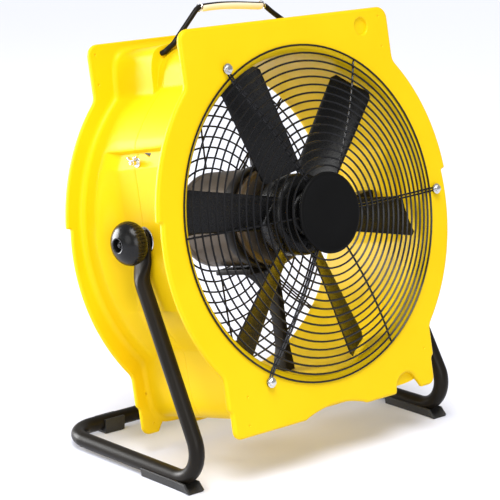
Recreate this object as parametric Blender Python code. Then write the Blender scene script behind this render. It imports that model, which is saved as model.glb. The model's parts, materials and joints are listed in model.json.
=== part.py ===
"""Axial air mover: a drum fan between two yellow half shells, tilting in a bent tube stand.

Metres, +Z up. The outlet, with the round guard, looks towards -Y. The stand's feet are at z = 0.
The housing is drawn level round its own centre, where the fan axis (Y) crosses the tilt axis (X),
and an empty at that centre leans all of it back by PITCH.
"""
import math

import bmesh
import bpy
from mathutils import Matrix, Vector

# Driving dimensions. CORE is how near to its axis a solid turned profile starts.
PITCH = math.radians(11.8)
PIVOT_Y = -0.0097
PIVOT_Z = 0.334
GAP = 0.0003
CORE = 0.0005

# Half shells, measured from the fan axis.
FACE_Y = 0.1065
FLANGE = 0.0085
WALL = 0.003
LIP_START = 0.098
WAIST_START = 0.090
PLATE_TOP = 0.282
PLATE_HALF = 0.2025
PLATE_CORNER = 0.018
ROUND_R = 0.2855
LOWER_R = 0.279
LOWER_Z = -0.0125
STEP_Z = 0.0275
FOOT_HALF = 0.2065
FOOT_TIP_HALF = 0.2015
FOOT_STEP_Z = -0.247
FOOT_BOTTOM = -0.2885
FOOT_CORNER = 0.012
FILLET = 0.020
NOTCH_X = 0.1435
NOTCH_R = 0.0225
ARCH_X = -0.004
ARCH_HALF = 0.062
ARCH_RISE = 0.0115
OPENING_R = 0.2415
REAR_OPENING_R = 0.234
DUCT_R = 0.2305
DUCT_FLAT_X = 0.2185
DUCT_FLAT_DEPTH = 0.046
DUCT_ROUND_DEPTH = 0.057
WAIST_R = 0.258
POCKET_R = 0.248
POCKET_FLAT_X = 0.2265
POCKET_RIM_X = 0.2370
POCKET_TOP_Z = 0.128
POCKET_RUN_OUT = (0.036, 0.070)
COLUMN_TOP = (0.163, 0.268, 14)
COLUMN_TOP_CUT = (0.158, 0.262, 8)
COLUMN_FOOT = (0.185, 0.270, 14)

# Guards.
WIRE = 0.003
DOME = 0.028
BADGE_R = 0.0585
FRONT_RINGS = 7
REAR_RINGS = 5
GUARD_BOLT_R = 0.2545
REAR_BOLT_R = 0.2495
REAR_RIM_R = 0.2370
REAR_CENTRE_R = 0.078
EYELET_R = 0.008
BOLT_R = 0.003
BOLT_WASHER_R = 0.0077

# Impeller and motor.
BLADES = 6
BLADE_FIRST = math.radians(51.0)
BLADE_Y = -0.0755
BLADE_TIP = 0.2255
BLADE_ROOT = 0.062
BLADE_TIP_HALF = 0.0337
BLADE_ROOT_HALF = 0.030
BLADE_PITCH = math.radians(24.5)
BLADE_THICK = 0.0036
HUB_R = 0.060
SHAFT_R = 0.0095
BEARING_R = 0.020
BEARING_WIDE = 0.010
MOTOR_R = 0.072
MOTOR_FRONT = -0.030
MOTOR_REAR = 0.128
MOUNT_Y = (-0.012, 0.010)

# Handle, with its points in the housing's x, z plane.
HANDLE_Y = 0.008
HANDLE_ROD_R = 0.004
HANDLE_FOOT = (0.139, 0.256)
HANDLE_KNEE = (0.119, 0.267)
HANDLE_BAR = (0.064, 0.315)
HANDLE_WALL_Y = 0.0135
HANDLE_WALL_RUN = 0.0015
GRIP_R = 0.008
GRIP_HALF = 0.054

# Stand.
TUBE_R = 0.0115
ARM_TOP_X = 0.2335
ARM_X = 0.2485
TAB_HALF = 0.0165
TAB_THICK = 0.0075
TAB_TOP = 0.0165
TAB_REACH = 0.026
TAB_RUN_OUT = 0.036
FLOOR_RUN_Z = 0.0153
FRONT_BEND_Y = -0.1727
CROSSBAR_Y = 0.1578
SHOULDER = (0.004, 0.044)
FRONT_BEND_R = 0.042
REAR_BEND_R = 0.052
FRONT_FOOT_Y = -0.1307
FRONT_FOOT_LONG = 0.096
REAR_FOOT_X = 0.166
REAR_FOOT_LONG = 0.042

# Tilt knobs.
KNOB_R = 0.0315
KNOB_SKIRT_R = 0.024
KNOB_FACE_X = 0.2771
KNOB_RECESS_R = 0.0085
STUD_R = 0.005
STUD_END_X = 0.2668
PIVOT_PLATE_R = 0.020
WASHER_R = 0.017
NUT_R = 0.0066

# Side fittings, placed in the housing's frame.
WING_SCREW = (-0.2263, -0.006, 0.110)
SWITCH_FACE = (0.1910, -0.040, 0.232)

YELLOW = ("shell_yellow", (0.92, 0.74, 0.02), 0.35, 0.0)
BLACK_STEEL = ("black_steel", (0.015, 0.015, 0.016), 0.45, 0.3)
BLACK_PLASTIC = ("black_plastic", (0.012, 0.012, 0.013), 0.35, 0.0)
BLACK_RUBBER = ("black_rubber", (0.02, 0.02, 0.02), 0.8, 0.0)
MOTOR_PAINT = ("motor_paint", (0.06, 0.055, 0.05), 0.5, 0.2)
BRIGHT_ZINC = ("bright_zinc", (0.75, 0.75, 0.77), 0.25, 1.0)
PALE_GRIP = ("pale_grip", (0.72, 0.66, 0.55), 0.6, 0.0)
RED_PLASTIC = ("red_plastic", (0.6, 0.03, 0.02), 0.35, 0.0)


# ---------------------------------------------------------------- helpers

def clear_scene():
    for item in list(bpy.data.objects):
        bpy.data.objects.remove(item, do_unlink=True)


def finish_material(finish):
    name, colour, roughness, metallic = finish
    found = bpy.data.materials.get(name)
    if found:
        return found
    made = bpy.data.materials.new(name)
    made.use_nodes = True
    shader = made.node_tree.nodes["Principled BSDF"]
    shader.inputs["Base Color"].default_value = (*colour, 1.0)
    shader.inputs["Roughness"].default_value = roughness
    shader.inputs["Metallic"].default_value = metallic
    made.diffuse_color = (*colour, 1.0)
    return made


def add_piece(name, shape, finish, parent=None, place=(0, 0, 0)):
    """Turn a bmesh into a named object, with its faces out and its round faces smooth."""
    bmesh.ops.recalc_face_normals(shape, faces=shape.faces)
    mesh = bpy.data.meshes.new(name)
    shape.to_mesh(mesh)
    shape.free()
    mesh.shade_smooth()
    mesh.set_sharp_from_angle(angle=math.radians(35))
    mesh.materials.append(finish_material(finish))
    piece = bpy.data.objects.new(name, mesh)
    bpy.context.scene.collection.objects.link(piece)
    piece.location = place
    piece.parent = parent
    return piece


def add_empty(name, place, turn=(0, 0, 0), parent=None):
    empty = bpy.data.objects.new(name, None)
    bpy.context.scene.collection.objects.link(empty)
    empty.location = place
    empty.rotation_euler = turn
    empty.parent = parent
    return empty


def loft(rings, ring_closes=False):
    """Skin rings of equal length. The skin is capped at its ends, or joins its last ring to its first."""
    shape = bmesh.new()
    rows = [[shape.verts.new(point) for point in ring] for ring in rings]
    count = len(rings[0])
    pairs = list(zip(rows, rows[1:]))
    if ring_closes:
        pairs.append((rows[-1], rows[0]))
    for low, high in pairs:
        for i in range(count):
            j = (i + 1) % count
            shape.faces.new((low[i], low[j], high[j], high[i]))
    if not ring_closes:
        shape.faces.new(rows[0])
        shape.faces.new(rows[-1])
    return shape


def turned(profile, sides, axis="Y", closed=False):
    """Revolve (radius, height) points about the Y or X axis. A closed profile gives a ring with a bore."""
    rings = []
    for radius, height in profile:
        ring = []
        for i in range(sides):
            angle = math.tau * i / sides
            a = radius * math.cos(angle)
            b = radius * math.sin(angle)
            ring.append((a, height, b) if axis == "Y" else (height, a, b))
        rings.append(ring)
    return loft(rings, closed)


def block(low, high, edge=0.0):
    """A box from corner to corner, with its edges cut back by edge."""
    shape = bmesh.new()
    size = [b - a for a, b in zip(low, high)]
    middle = [(a + b) / 2 for a, b in zip(low, high)]
    bmesh.ops.create_cube(shape, size=1.0, matrix=Matrix.Translation(middle) @ Matrix.Diagonal((*size, 1.0)))
    if edge:
        bmesh.ops.bevel(shape, geom=shape.edges[:], offset=edge, segments=1, affect="EDGES", profile=0.5)
    return shape


def ramp(value, start, stop):
    """0 up to start, 1 from stop on, and straight between them."""
    return min(1.0, max(0.0, (value - start) / (stop - start)))


def rounded_path(corners, radii, step=math.radians(15)):
    """Points along straight runs whose corners are arcs of the given radii."""
    points = [Vector(corners[0])]
    for before, corner, after, radius in zip(corners, corners[1:], corners[2:], radii):
        here = Vector(corner)
        back = (Vector(before) - here).normalized()
        ahead = (Vector(after) - here).normalized()
        half = back.angle(ahead) / 2
        inward = (back + ahead).normalized()
        centre = here + inward * (radius / math.sin(half))
        start = here + back * (radius / math.tan(half)) - centre
        stop = here + ahead * (radius / math.tan(half)) - centre
        sweep = start.angle(stop)
        count = max(2, math.ceil(sweep / step))
        for i in range(count + 1):
            part = i / count
            arm = (start * math.sin((1 - part) * sweep) + stop * math.sin(part * sweep)) / math.sin(sweep)
            points.append(centre + arm)
    points.append(Vector(corners[-1]))
    return points


def swept(points, sizes, sides, first_side):
    """Sweep an ellipse along points. sizes holds its two half widths, the first along first_side."""
    side = Vector(first_side)
    rings = []
    for i, point in enumerate(points):
        ahead = points[min(i + 1, len(points) - 1)] - points[max(i - 1, 0)]
        ahead.normalize()
        side = (side - ahead * side.dot(ahead)).normalized()
        other = ahead.cross(side)
        ring = []
        for k in range(sides):
            angle = math.tau * (k + 0.5) / sides
            offset = side * (sizes[i][0] * math.cos(angle)) + other * (sizes[i][1] * math.sin(angle))
            ring.append(point + offset)
        rings.append(ring)
    return loft(rings)


def add_cutter(name, shape, parent, place=(0, 0, 0)):
    cutter = add_piece(name, shape, BLACK_PLASTIC, parent, place)
    cutter.hide_render = True
    cutter.display_type = "WIRE"
    return cutter


def combine(piece, other, operation):
    tool = piece.modifiers.new(other.name, "BOOLEAN")
    tool.operation = operation
    tool.solver = "EXACT"
    tool.object = other


def cut(piece, cutter):
    combine(piece, cutter, "DIFFERENCE")


def join(piece, other):
    combine(piece, other, "UNION")


# ---------------------------------------------------------------- half shells

def arc(centre, radius, start, stop, steps):
    """Points on an arc in the housing's x, z plane, by angles in degrees."""
    points = []
    for i in range(steps + 1):
        angle = math.radians(start + (stop - start) * i / steps)
        points.append((centre[0] + radius * math.cos(angle), centre[1] + radius * math.sin(angle)))
    return points


def mirrored(points):
    return [(-x, z) for x, z in reversed(points)]


def side_fillet(radius, centre_z, side_x, upward):
    """The hollow fillet between a circle on the z axis and an upright side at side_x."""
    reach = radius + FILLET
    middle_x = side_x + FILLET
    rise = math.sqrt(reach ** 2 - middle_x ** 2)
    lean = math.degrees(math.atan2(rise, middle_x))
    if upward:
        return lean, arc((middle_x, centre_z + rise), FILLET, 180 + lean, 180, 2)
    return lean, arc((middle_x, centre_z - rise), FILLET, 180, 180 - lean, 2)


def plate_outline():
    """The flange's outline, anticlockwise as seen from the front."""
    lean, fillet = side_fillet(ROUND_R, 0.0, PLATE_HALF, True)
    first = math.degrees(math.asin((STEP_Z + 0.001) / ROUND_R))
    shelf = math.degrees(math.asin(POCKET_TOP_Z / WAIST_R))
    upper = arc((0, 0), ROUND_R, first, shelf - 0.4, 3) + arc((0, 0), ROUND_R, shelf + 0.4, lean, 2)[:-1]
    upper += fillet
    corner = (PLATE_HALF - PLATE_CORNER, PLATE_TOP - PLATE_CORNER)
    upper += arc(corner, PLATE_CORNER, 0, 90, 3)

    lean, fillet = side_fillet(LOWER_R, LOWER_Z, FOOT_HALF, False)
    last = math.degrees(math.asin((STEP_Z - 0.001 - LOWER_Z) / LOWER_R))
    tip = (FOOT_TIP_HALF - FOOT_CORNER, FOOT_BOTTOM + FOOT_CORNER)
    lower = arc(tip, FOOT_CORNER, -90, 0, 2)
    lower += [(FOOT_TIP_HALF, FOOT_STEP_Z - 0.0025), (FOOT_HALF, FOOT_STEP_Z + 0.0025)]
    lower += fillet + arc((0, LOWER_Z), LOWER_R, -lean, last, 8)[1:]

    arch = []
    for i in range(7):
        part = i / 6
        lift = ARCH_RISE * math.sin(math.pi * part) ** 0.8 if 0 < i < 6 else 0.0
        arch.append((ARCH_X + ARCH_HALF * (2 * part - 1), FOOT_BOTTOM + lift))
    notch = [(NOTCH_X - NOTCH_R - 0.0025, FOOT_BOTTOM)]
    notch += arc((NOTCH_X, FOOT_BOTTOM + 0.005), NOTCH_R, 180, 0, 5)
    notch += [(NOTCH_X + NOTCH_R + 0.0035, FOOT_BOTTOM)]
    return upper + mirrored(upper) + mirrored(lower) + arch + notch + lower


def fill_in(outline, widest=math.radians(8.5)):
    """Add points along edges that the fan axis sees under a wide angle."""
    points = []
    for start, stop in zip(outline, outline[1:] + outline[:1]):
        points.append(start)
        turn = math.atan2(stop[1], stop[0]) - math.atan2(start[1], start[0])
        turn = (turn + math.pi) % math.tau - math.pi
        count = math.ceil(turn / widest)
        for i in range(1, count):
            part = i / count
            points.append((start[0] + (stop[0] - start[0]) * part, start[1] + (stop[1] - start[1]) * part))
    return points


def inset(outline, distance):
    """The outline moved inwards along the bisector of each corner."""
    moved = []
    for before, here, after in zip(outline[-1:] + outline[:-1], outline, outline[1:] + outline[:1]):
        first = Vector((here[0] - before[0], here[1] - before[1])).normalized()
        second = Vector((after[0] - here[0], after[1] - here[1])).normalized()
        normal = Vector((-(first.y + second.y), first.x + second.x)).normalized()
        stretch = max(0.6, normal.dot(Vector((-first.y, first.x))))
        moved.append((here[0] + normal.x * distance / stretch, here[1] + normal.y * distance / stretch))
    return moved


def soft_box_radius(angle, half_x, half_z, power):
    """Radius of a box with rounded corners, seen from its middle. A high power makes sharper corners."""
    return (abs(math.cos(angle) / half_x) ** power + abs(math.sin(angle) / half_z) ** power) ** (-1 / power)


def clipped_radius(angle, radius, flat_x):
    """Radius of a circle with an upright flat at each side."""
    return min(radius, flat_x / max(abs(math.cos(angle)), 0.01))


def waist_radius(angle, y):
    """Radius of the wall between the flanges.
    Beside the stand's arms the drum has a pocket with a flat bottom, under a shelf. The pocket runs out
    behind the arms. The top corners are cut back where the handle comes down."""
    column = COLUMN_FOOT
    if math.sin(angle) > 0:
        column = COLUMN_TOP_CUT if y < HANDLE_WALL_Y - HANDLE_WALL_RUN / 2 else COLUMN_TOP
    boxed = soft_box_radius(angle, *column)
    drum = WAIST_R
    if math.sin(angle) * WAIST_R < POCKET_TOP_Z:
        flat = POCKET_FLAT_X if y > -DUCT_ROUND_DEPTH + 0.001 else POCKET_RIM_X
        pocketed = clipped_radius(angle, POCKET_R, flat)
        drum = pocketed + (WAIST_R - pocketed) * ramp(y, *POCKET_RUN_OUT)
    return max(drum, boxed)


def polar_ring(angles, radius_at, y):
    return [(radius_at(a) * math.cos(a), y, radius_at(a) * math.sin(a)) for a in angles]


def shell_rings(outline, side, opening, depths):
    """The rings of one half shell, from the duct's seam edge round the flange and back to the seam.
    side is -1 for the outlet half and +1 for the inlet half. depths are the waist's sections."""
    angles = [math.atan2(z, x) for x, z in outline]
    rings = []

    def add(radius_at, depth):
        rings.append(polar_ring(angles, radius_at, side * depth))

    def add_outline(points, depth):
        rings.append([(x, side * depth, z) for x, z in points])

    def flat_duct(angle):
        return clipped_radius(angle, DUCT_R, DUCT_FLAT_X)

    add(flat_duct, GAP / 2)
    add(flat_duct, DUCT_FLAT_DEPTH)
    add(lambda a: DUCT_R, DUCT_ROUND_DEPTH)
    add(lambda a: DUCT_R, LIP_START)
    add(lambda a: opening, FACE_Y)
    add_outline(inset(outline, 0.0035), FACE_Y)
    add_outline(outline, FACE_Y - 0.0030)
    add_outline(inset(outline, 0.0015), FACE_Y - FLANGE)
    add(lambda a: waist_radius(a, side * FACE_Y) + 0.004, FACE_Y - FLANGE)
    for depth in depths:
        add(lambda a: waist_radius(a, side * depth), depth)
    for depth in reversed(depths):
        add(lambda a: waist_radius(a, side * depth) - WALL, depth)
    add(lambda a: DUCT_R + WALL, depths[0])
    add(lambda a: DUCT_R + WALL, DUCT_ROUND_DEPTH)
    add(lambda a: flat_duct(a) + WALL, DUCT_FLAT_DEPTH)
    add(lambda a: flat_duct(a) + WALL, GAP / 2)
    return rings


def build_shells(housing):
    outline = fill_in(plate_outline())
    depths = (WAIST_START, DUCT_ROUND_DEPTH, DUCT_FLAT_DEPTH, GAP / 2)
    front = loft(shell_rings(outline, -1, OPENING_R, depths), True)
    add_piece("front_shell", front, YELLOW, housing)

    outline = mirrored(outline)
    run_in, run_out = POCKET_RUN_OUT
    depths = (WAIST_START, run_out, run_in, HANDLE_WALL_Y, HANDLE_WALL_Y - HANDLE_WALL_RUN, GAP / 2)
    rear = loft(shell_rings(outline, 1, REAR_OPENING_R, depths), True)
    shell = add_piece("rear_shell", rear, YELLOW, housing)
    for side, name in ((-1, "left"), (1, "right")):
        hole = turned([(HANDLE_ROD_R + 0.0005, 0.0), (HANDLE_ROD_R + 0.0005, 0.045)], 12)
        place = (side * HANDLE_FOOT[0], HANDLE_Y, HANDLE_FOOT[1])
        cut(shell, add_cutter(f"guide_handle_hole_{name}", hole, housing, place))


# ---------------------------------------------------------------- guards

def wire_grid(radii, spokes, between, level, stub_spokes, stub_end):
    """A grid of rings and spokes as one body. radii holds each ring's middle, and level its y by radius.
    The spokes listed in stub_spokes run on past the outermost ring, to stub_end."""
    bands = []
    for radius in radii:
        bands += [radius - WIRE / 2, radius + WIRE / 2]
    bands.append(stub_end)
    rim = len(bands) - 2
    turns = []
    for k in range(spokes):
        here = math.tau * k / spokes
        half = WIRE / 2 / (radii[len(radii) // 2])
        step = (math.tau / spokes - 2 * half) / between
        turns += [here - half] + [here + half + step * i for i in range(between)]
    shape = bmesh.new()
    points = {}

    def corner(i, j, top):
        key = (i, j % len(turns), top)
        if key not in points:
            angle = turns[j % len(turns)]
            y = level(bands[i]) + (WIRE if top else 0.0)
            points[key] = shape.verts.new((bands[i] * math.cos(angle), y, bands[i] * math.sin(angle)))
        return points[key]

    def filled(i, j):
        spoke, offset = divmod(j % len(turns), between + 1)
        if i == rim:
            return offset == 0 and spoke in stub_spokes
        return 0 <= i < rim and (i % 2 == 0 or offset == 0)

    for i in range(rim + 1):
        for j in range(len(turns)):
            if not filled(i, j):
                continue
            for top in (False, True):
                shape.faces.new([corner(i, j, top), corner(i + 1, j, top),
                                 corner(i + 1, j + 1, top), corner(i, j + 1, top)])
            edges = [((i, j), (i, j + 1), (i - 1, j)), ((i + 1, j), (i + 1, j + 1), (i + 1, j)),
                     ((i, j), (i + 1, j), (i, j - 1)), ((i, j + 1), (i + 1, j + 1), (i, j + 1))]
            for start, stop, neighbour in edges:
                if not filled(*neighbour):
                    shape.faces.new([corner(*start, False), corner(*stop, False),
                                     corner(*stop, True), corner(*start, True)])
    return shape


def front_dome(radius):
    """The y of the front guard's front side at a radius: furthest out in the middle, flat at the rim."""
    part = min(1.0, max(0.0, (radius - BADGE_R) / (OPENING_R - BADGE_R)))
    return -FACE_Y - GAP - WIRE - DOME * (1 - part ** 2)


def rear_dome(radius):
    part = min(1.0, max(0.0, (radius - REAR_CENTRE_R) / (REAR_RIM_R - REAR_CENTRE_R)))
    return FACE_Y + GAP + 0.010 * (1 - part ** 2)


def build_guard(name, housing, rings, spokes, between, level, bolt_r, bolt_spokes):
    """A wire guard with an eyelet at each bolt, and the bolts, whose washers press on the eyelets."""
    first, last, count = rings
    radii = [first + (last - first) * k / (count - 1) for k in range(count)]
    grid = wire_grid(radii, spokes, between, level, bolt_spokes, bolt_r - EYELET_R + 0.002)
    guard = add_piece(name, grid, BLACK_STEEL, housing)
    side = 1 if level(last) > 0 else -1
    for k, spoke in enumerate(bolt_spokes, start=1):
        angle = math.tau * spoke / spokes
        place = (bolt_r * math.cos(angle), side * (FACE_Y + GAP), bolt_r * math.sin(angle))
        inside, outside = EYELET_R * 0.45, EYELET_R
        ring = [(inside, 0.0), (outside, 0.0), (outside, side * WIRE), (inside, side * WIRE)]
        eyelet = add_cutter(f"guide_{name}_eyelet_{k}", turned(ring, 12, closed=True), housing, place)
        join(guard, eyelet)
        seat = WIRE + GAP
        profile = [(CORE, 0.0), (BOLT_R, 0.0), (BOLT_R, seat), (BOLT_WASHER_R, seat),
                   (BOLT_WASHER_R, 0.0046), (0.0060, 0.0048), (0.0056, 0.0086), (CORE, 0.0096)]
        bolt = turned([(r, side * y) for r, y in profile], 8)
        add_piece(f"{name}_bolt_{k}", bolt, BRIGHT_ZINC, housing, place)


def build_guards(housing):
    build_guard("front_guard", housing, (BADGE_R - 0.004, OPENING_R, FRONT_RINGS), 6, 4, front_dome,
                GUARD_BOLT_R, (0, 2, 4))
    build_guard("rear_guard", housing, (REAR_CENTRE_R, REAR_RIM_R, REAR_RINGS), 8, 3, rear_dome,
                REAR_BOLT_R, (1, 3, 5, 7))
    badge_back = front_dome(BADGE_R) - GAP
    badge = turned([(0.001, badge_back), (BADGE_R, badge_back), (BADGE_R, badge_back - 0.003),
                    (BADGE_R - 0.004, badge_back - 0.0055), (0.001, badge_back - 0.0065)], 28)
    add_piece("guard_badge", badge, BLACK_PLASTIC, housing)


# ---------------------------------------------------------------- impeller and motor

def blade_shape():
    """One blade along +X, its chord turned by BLADE_PITCH and its face slightly cambered."""
    stations = 4
    rings = []
    for i in range(stations):
        part = i / (stations - 1)
        reach = BLADE_ROOT + (BLADE_TIP - BLADE_ROOT) * part
        half = BLADE_ROOT_HALF + (BLADE_TIP_HALF - BLADE_ROOT_HALF) * part
        twist = BLADE_PITCH + math.radians(14) * (1 - part)
        across = Vector((0.0, math.sin(twist), math.cos(twist)))
        normal = Vector((0.0, math.cos(twist), -math.sin(twist)))
        ring = []
        outline = [(-1.0, 0.0, 0.3), (-0.5, 0.06, 1.0), (0.0, 0.09, 1.0), (0.5, 0.06, 1.0), (1.0, 0.0, 0.3)]
        for along, bow, fat in outline:
            ring.append(across * (half * along) + normal * (half * bow + BLADE_THICK / 2 * fat))
        for along, bow, fat in reversed(outline):
            ring.append(across * (half * along) + normal * (half * bow - BLADE_THICK / 2 * fat))
        rings.append([Vector((reach, BLADE_Y, 0.0)) + point for point in ring])
    return loft(rings)


def build_impeller(housing):
    spin = add_empty("impeller_axis", (0, 0, 0), parent=housing)
    for k in range(BLADES):
        angle = BLADE_FIRST + math.tau * k / BLADES
        blade = add_piece(f"blade_{k + 1}", blade_shape(), BLACK_PLASTIC, spin)
        blade.rotation_euler = (0.0, -angle, 0.0)
    front = BLADE_Y - 0.024
    back = BLADE_Y + 0.026
    bore = SHAFT_R + GAP
    hub = [(bore, front + 0.004), (HUB_R - 0.014, front + 0.004), (HUB_R - 0.0005, front + 0.012),
           (HUB_R - 0.0005, back - 0.004), (HUB_R - 0.004, back), (bore, back)]
    add_piece("impeller_hub", turned(hub, 28, closed=True), BLACK_PLASTIC, spin)
    clamp = [(CORE, front - 0.0035), (0.030, front - 0.003), (0.034, front), (0.034, front + 0.0035),
             (CORE, front + 0.0035)]
    add_piece("hub_clamp_plate", turned(clamp, 18), BRIGHT_ZINC, spin)
    shaft = [(CORE, front + 0.0045), (SHAFT_R, front + 0.0045), (SHAFT_R, MOTOR_REAR - 0.012),
             (CORE, MOTOR_REAR - 0.012)]
    add_piece("motor_shaft", turned(shaft, 16), BRIGHT_ZINC, spin)


def build_motor(housing):
    front_seat = MOTOR_FRONT + 0.016
    rear_seat = MOTOR_REAR - 0.024
    inner = MOTOR_R - 0.020
    body = [(BEARING_R + GAP, MOTOR_FRONT), (MOTOR_R - 0.006, MOTOR_FRONT), (MOTOR_R, MOTOR_FRONT + 0.006),
            (MOTOR_R, MOTOR_REAR - 0.020), (inner, MOTOR_REAR - 0.020), (inner, front_seat + 0.006),
            (BEARING_R + GAP, front_seat)]
    add_piece("motor_body", turned(body, 28, closed=True), MOTOR_PAINT, housing)
    cover_y = MOTOR_REAR - 0.020 + GAP
    cover = [(BEARING_R + GAP, cover_y - 0.006), (inner - 0.001, cover_y - 0.006), (inner - 0.001, cover_y),
             (MOTOR_R, cover_y), (MOTOR_R, cover_y + 0.006), (MOTOR_R - 0.008, MOTOR_REAR),
             (BEARING_R + GAP, MOTOR_REAR)]
    add_piece("motor_rear_cover", turned(cover, 28, closed=True), MOTOR_PAINT, housing)
    for name, low in (("bearing_front", MOTOR_FRONT + 0.002), ("bearing_rear", rear_seat)):
        high = low + BEARING_WIDE
        race = [(SHAFT_R + GAP, low), (BEARING_R, low), (BEARING_R, high), (SHAFT_R + GAP, high)]
        add_piece(name, turned(race, 16, closed=True), BRIGHT_ZINC, housing)
    top = -MOTOR_R - 0.0010
    plate = block((-0.030, MOUNT_Y[1] + 0.0025, top - 0.010), (0.030, 0.092, top), 0.002)
    add_piece("motor_base_plate", plate, MOTOR_PAINT, housing)


def build_motor_mount(housing):
    """A clamp ring round the motor, and four flat struts from it to the duct wall."""
    low, high = MOUNT_Y
    ring = [(MOTOR_R + GAP, low), (MOTOR_R + 0.0040, low), (MOTOR_R + 0.0040, high), (MOTOR_R + GAP, high)]
    add_piece("motor_clamp_ring", turned(ring, 28, closed=True), BLACK_STEEL, housing)
    inner = MOTOR_R + 0.0046
    for k in range(4):
        outer = (DUCT_R if k % 2 else DUCT_FLAT_X) - 0.0015
        foot = outer - 0.030
        rings = []
        for reach, back, half in ((inner, high, 0.005), (foot, high, 0.0055), (outer, high + 0.007, 0.009)):
            ring = [(low, -half), (back, -half), (back, half), (low, half)]
            rings.append([(reach, y, z) for y, z in ring])
        piece = add_piece(f"motor_strut_{k + 1}", loft(rings), BLACK_STEEL, housing)
        piece.rotation_euler = (0.0, -math.tau * k / 4, 0.0)


# ---------------------------------------------------------------- handle

def build_handle(housing):
    """A bent rod whose feet turn back into the inlet shell, with a sleeve on its bar."""
    foot_x, foot_z = HANDLE_FOOT
    knee_x, knee_z = HANDLE_KNEE
    bar_x, bar_z = HANDLE_BAR
    left = [(-foot_x, HANDLE_WALL_Y + 0.020, foot_z), (-foot_x, HANDLE_Y, foot_z),
            (-knee_x, HANDLE_Y, knee_z), (-bar_x, HANDLE_Y, bar_z)]
    right = [(-x, y, z) for x, y, z in reversed(left)]
    radii = (0.006, 0.012, 0.018, 0.018, 0.012, 0.006)
    points = rounded_path(left + right, radii, math.radians(24))
    rod = swept(points, [(HANDLE_ROD_R, HANDLE_ROD_R)] * len(points), 8, (1, 0, 0))
    add_piece("handle_rod", rod, BLACK_STEEL, housing)
    bore = HANDLE_ROD_R + 0.0006
    outer = GRIP_R - 0.0008
    sleeve = turned([(bore, -GRIP_HALF), (outer, -GRIP_HALF), (GRIP_R, -GRIP_HALF + 0.003),
                     (GRIP_R, GRIP_HALF - 0.003), (outer, GRIP_HALF), (bore, GRIP_HALF)], 16, "X", True)
    add_piece("handle_grip", sleeve, PALE_GRIP, housing, (0, HANDLE_Y, bar_z))


# ---------------------------------------------------------------- stand

def stand_path():
    """The tube's middle line, from the left tab down, round the floor and up to the right tab."""
    left = [(-ARM_X, PIVOT_Y, PIVOT_Z + TAB_TOP), (-ARM_X, PIVOT_Y - SHOULDER[0], PIVOT_Z - SHOULDER[1]),
            (-ARM_X, FRONT_BEND_Y, FLOOR_RUN_Z), (-ARM_X, CROSSBAR_Y, FLOOR_RUN_Z)]
    right = [(-x, y, z) for x, y, z in reversed(left)]
    radii = (0.060, FRONT_BEND_R, REAR_BEND_R, REAR_BEND_R, FRONT_BEND_R, 0.060)
    return rounded_path(left + right, radii)


def flattening(z):
    """1 on the flat tab at the top of an arm, falling to 0 where the tube is round."""
    part = ramp(PIVOT_Z - z, TAB_REACH, TAB_REACH + TAB_RUN_OUT)
    return 1 - part * part * (3 - 2 * part)


def arm_inner_x(z):
    """Where an arm's inner side is: beside the drum at the top, and further out at the floor."""
    top = ARM_TOP_X - TAB_THICK / 2
    return top + (ARM_X - TUBE_R - top) * ramp(PIVOT_Z - z, TAB_REACH, PIVOT_Z - 0.07)


def build_stand():
    corners = stand_path()
    ends = [corners[0].lerp(corners[1], part) for part in (0.0, 0.08, 0.55, 0.8)]
    far_ends = [corners[-1].lerp(corners[-2], part) for part in (0.8, 0.55, 0.08, 0.0)]
    points = ends + corners[1:-1] + far_ends
    sizes = []
    for point in points:
        flat = flattening(point.z)
        thin = TAB_THICK / 2 * flat + TUBE_R * (1 - flat)
        wide = TAB_HALF * flat + TUBE_R * (1 - flat)
        if point.z > PIVOT_Z + TAB_TOP - 0.001:
            wide *= 0.75
        sizes.append((thin, wide))
        if abs(point.x) > ARM_X - 0.001:
            point.x = math.copysign(arm_inner_x(point.z) + thin, point.x)
    tube = add_piece("stand_frame", swept(points, sizes, 12, (1, 0, 0)), BLACK_STEEL)
    for side, name in ((-1, "left"), (1, "right")):
        hole = turned([(STUD_R + 0.0006, -0.02), (STUD_R + 0.0006, 0.02)], 16, "X")
        cut(tube, add_cutter(f"guide_tab_hole_{name}", hole, None, (side * ARM_TOP_X, PIVOT_Y, PIVOT_Z)))


def saddle(length, half_top, half_bottom, height, flare):
    """A rubber foot under a tube that runs along Y: a wedge with a round seat cut in its top."""
    seat_r = TUBE_R + 0.0007
    rings = []
    for y, wide in ((0.0, flare), (length * 0.25, 1.0), (length, 1.0)):
        ring = [(-half_bottom * wide, y, 0.0), (half_bottom * wide, y, 0.0), (half_top * wide, y, height)]
        for i in range(7):
            angle = math.radians(-8 - 164 * i / 6)
            ring.append((seat_r * math.cos(angle), y, FLOOR_RUN_Z + seat_r * math.sin(angle)))
        ring.append((-half_top * wide, y, height))
        rings.append(ring)
    return loft(rings)


def build_feet():
    for side, name in ((-1, "left"), (1, "right")):
        front = saddle(FRONT_FOOT_LONG, 0.0128, 0.0112, FLOOR_RUN_Z - 0.0015, 1.12)
        add_piece(f"front_foot_{name}", front, BLACK_RUBBER, None, (side * ARM_X, FRONT_FOOT_Y, 0.0))
        rear = saddle(REAR_FOOT_LONG, 0.0145, 0.0135, FLOOR_RUN_Z - 0.0015, 1.0)
        place = (side * REAR_FOOT_X + REAR_FOOT_LONG / 2, CROSSBAR_Y, 0.0)
        piece = add_piece(f"rear_foot_{name}", rear, BLACK_RUBBER, None, place)
        piece.rotation_euler = (0.0, 0.0, math.radians(90))


# ---------------------------------------------------------------- tilt pivots

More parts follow.
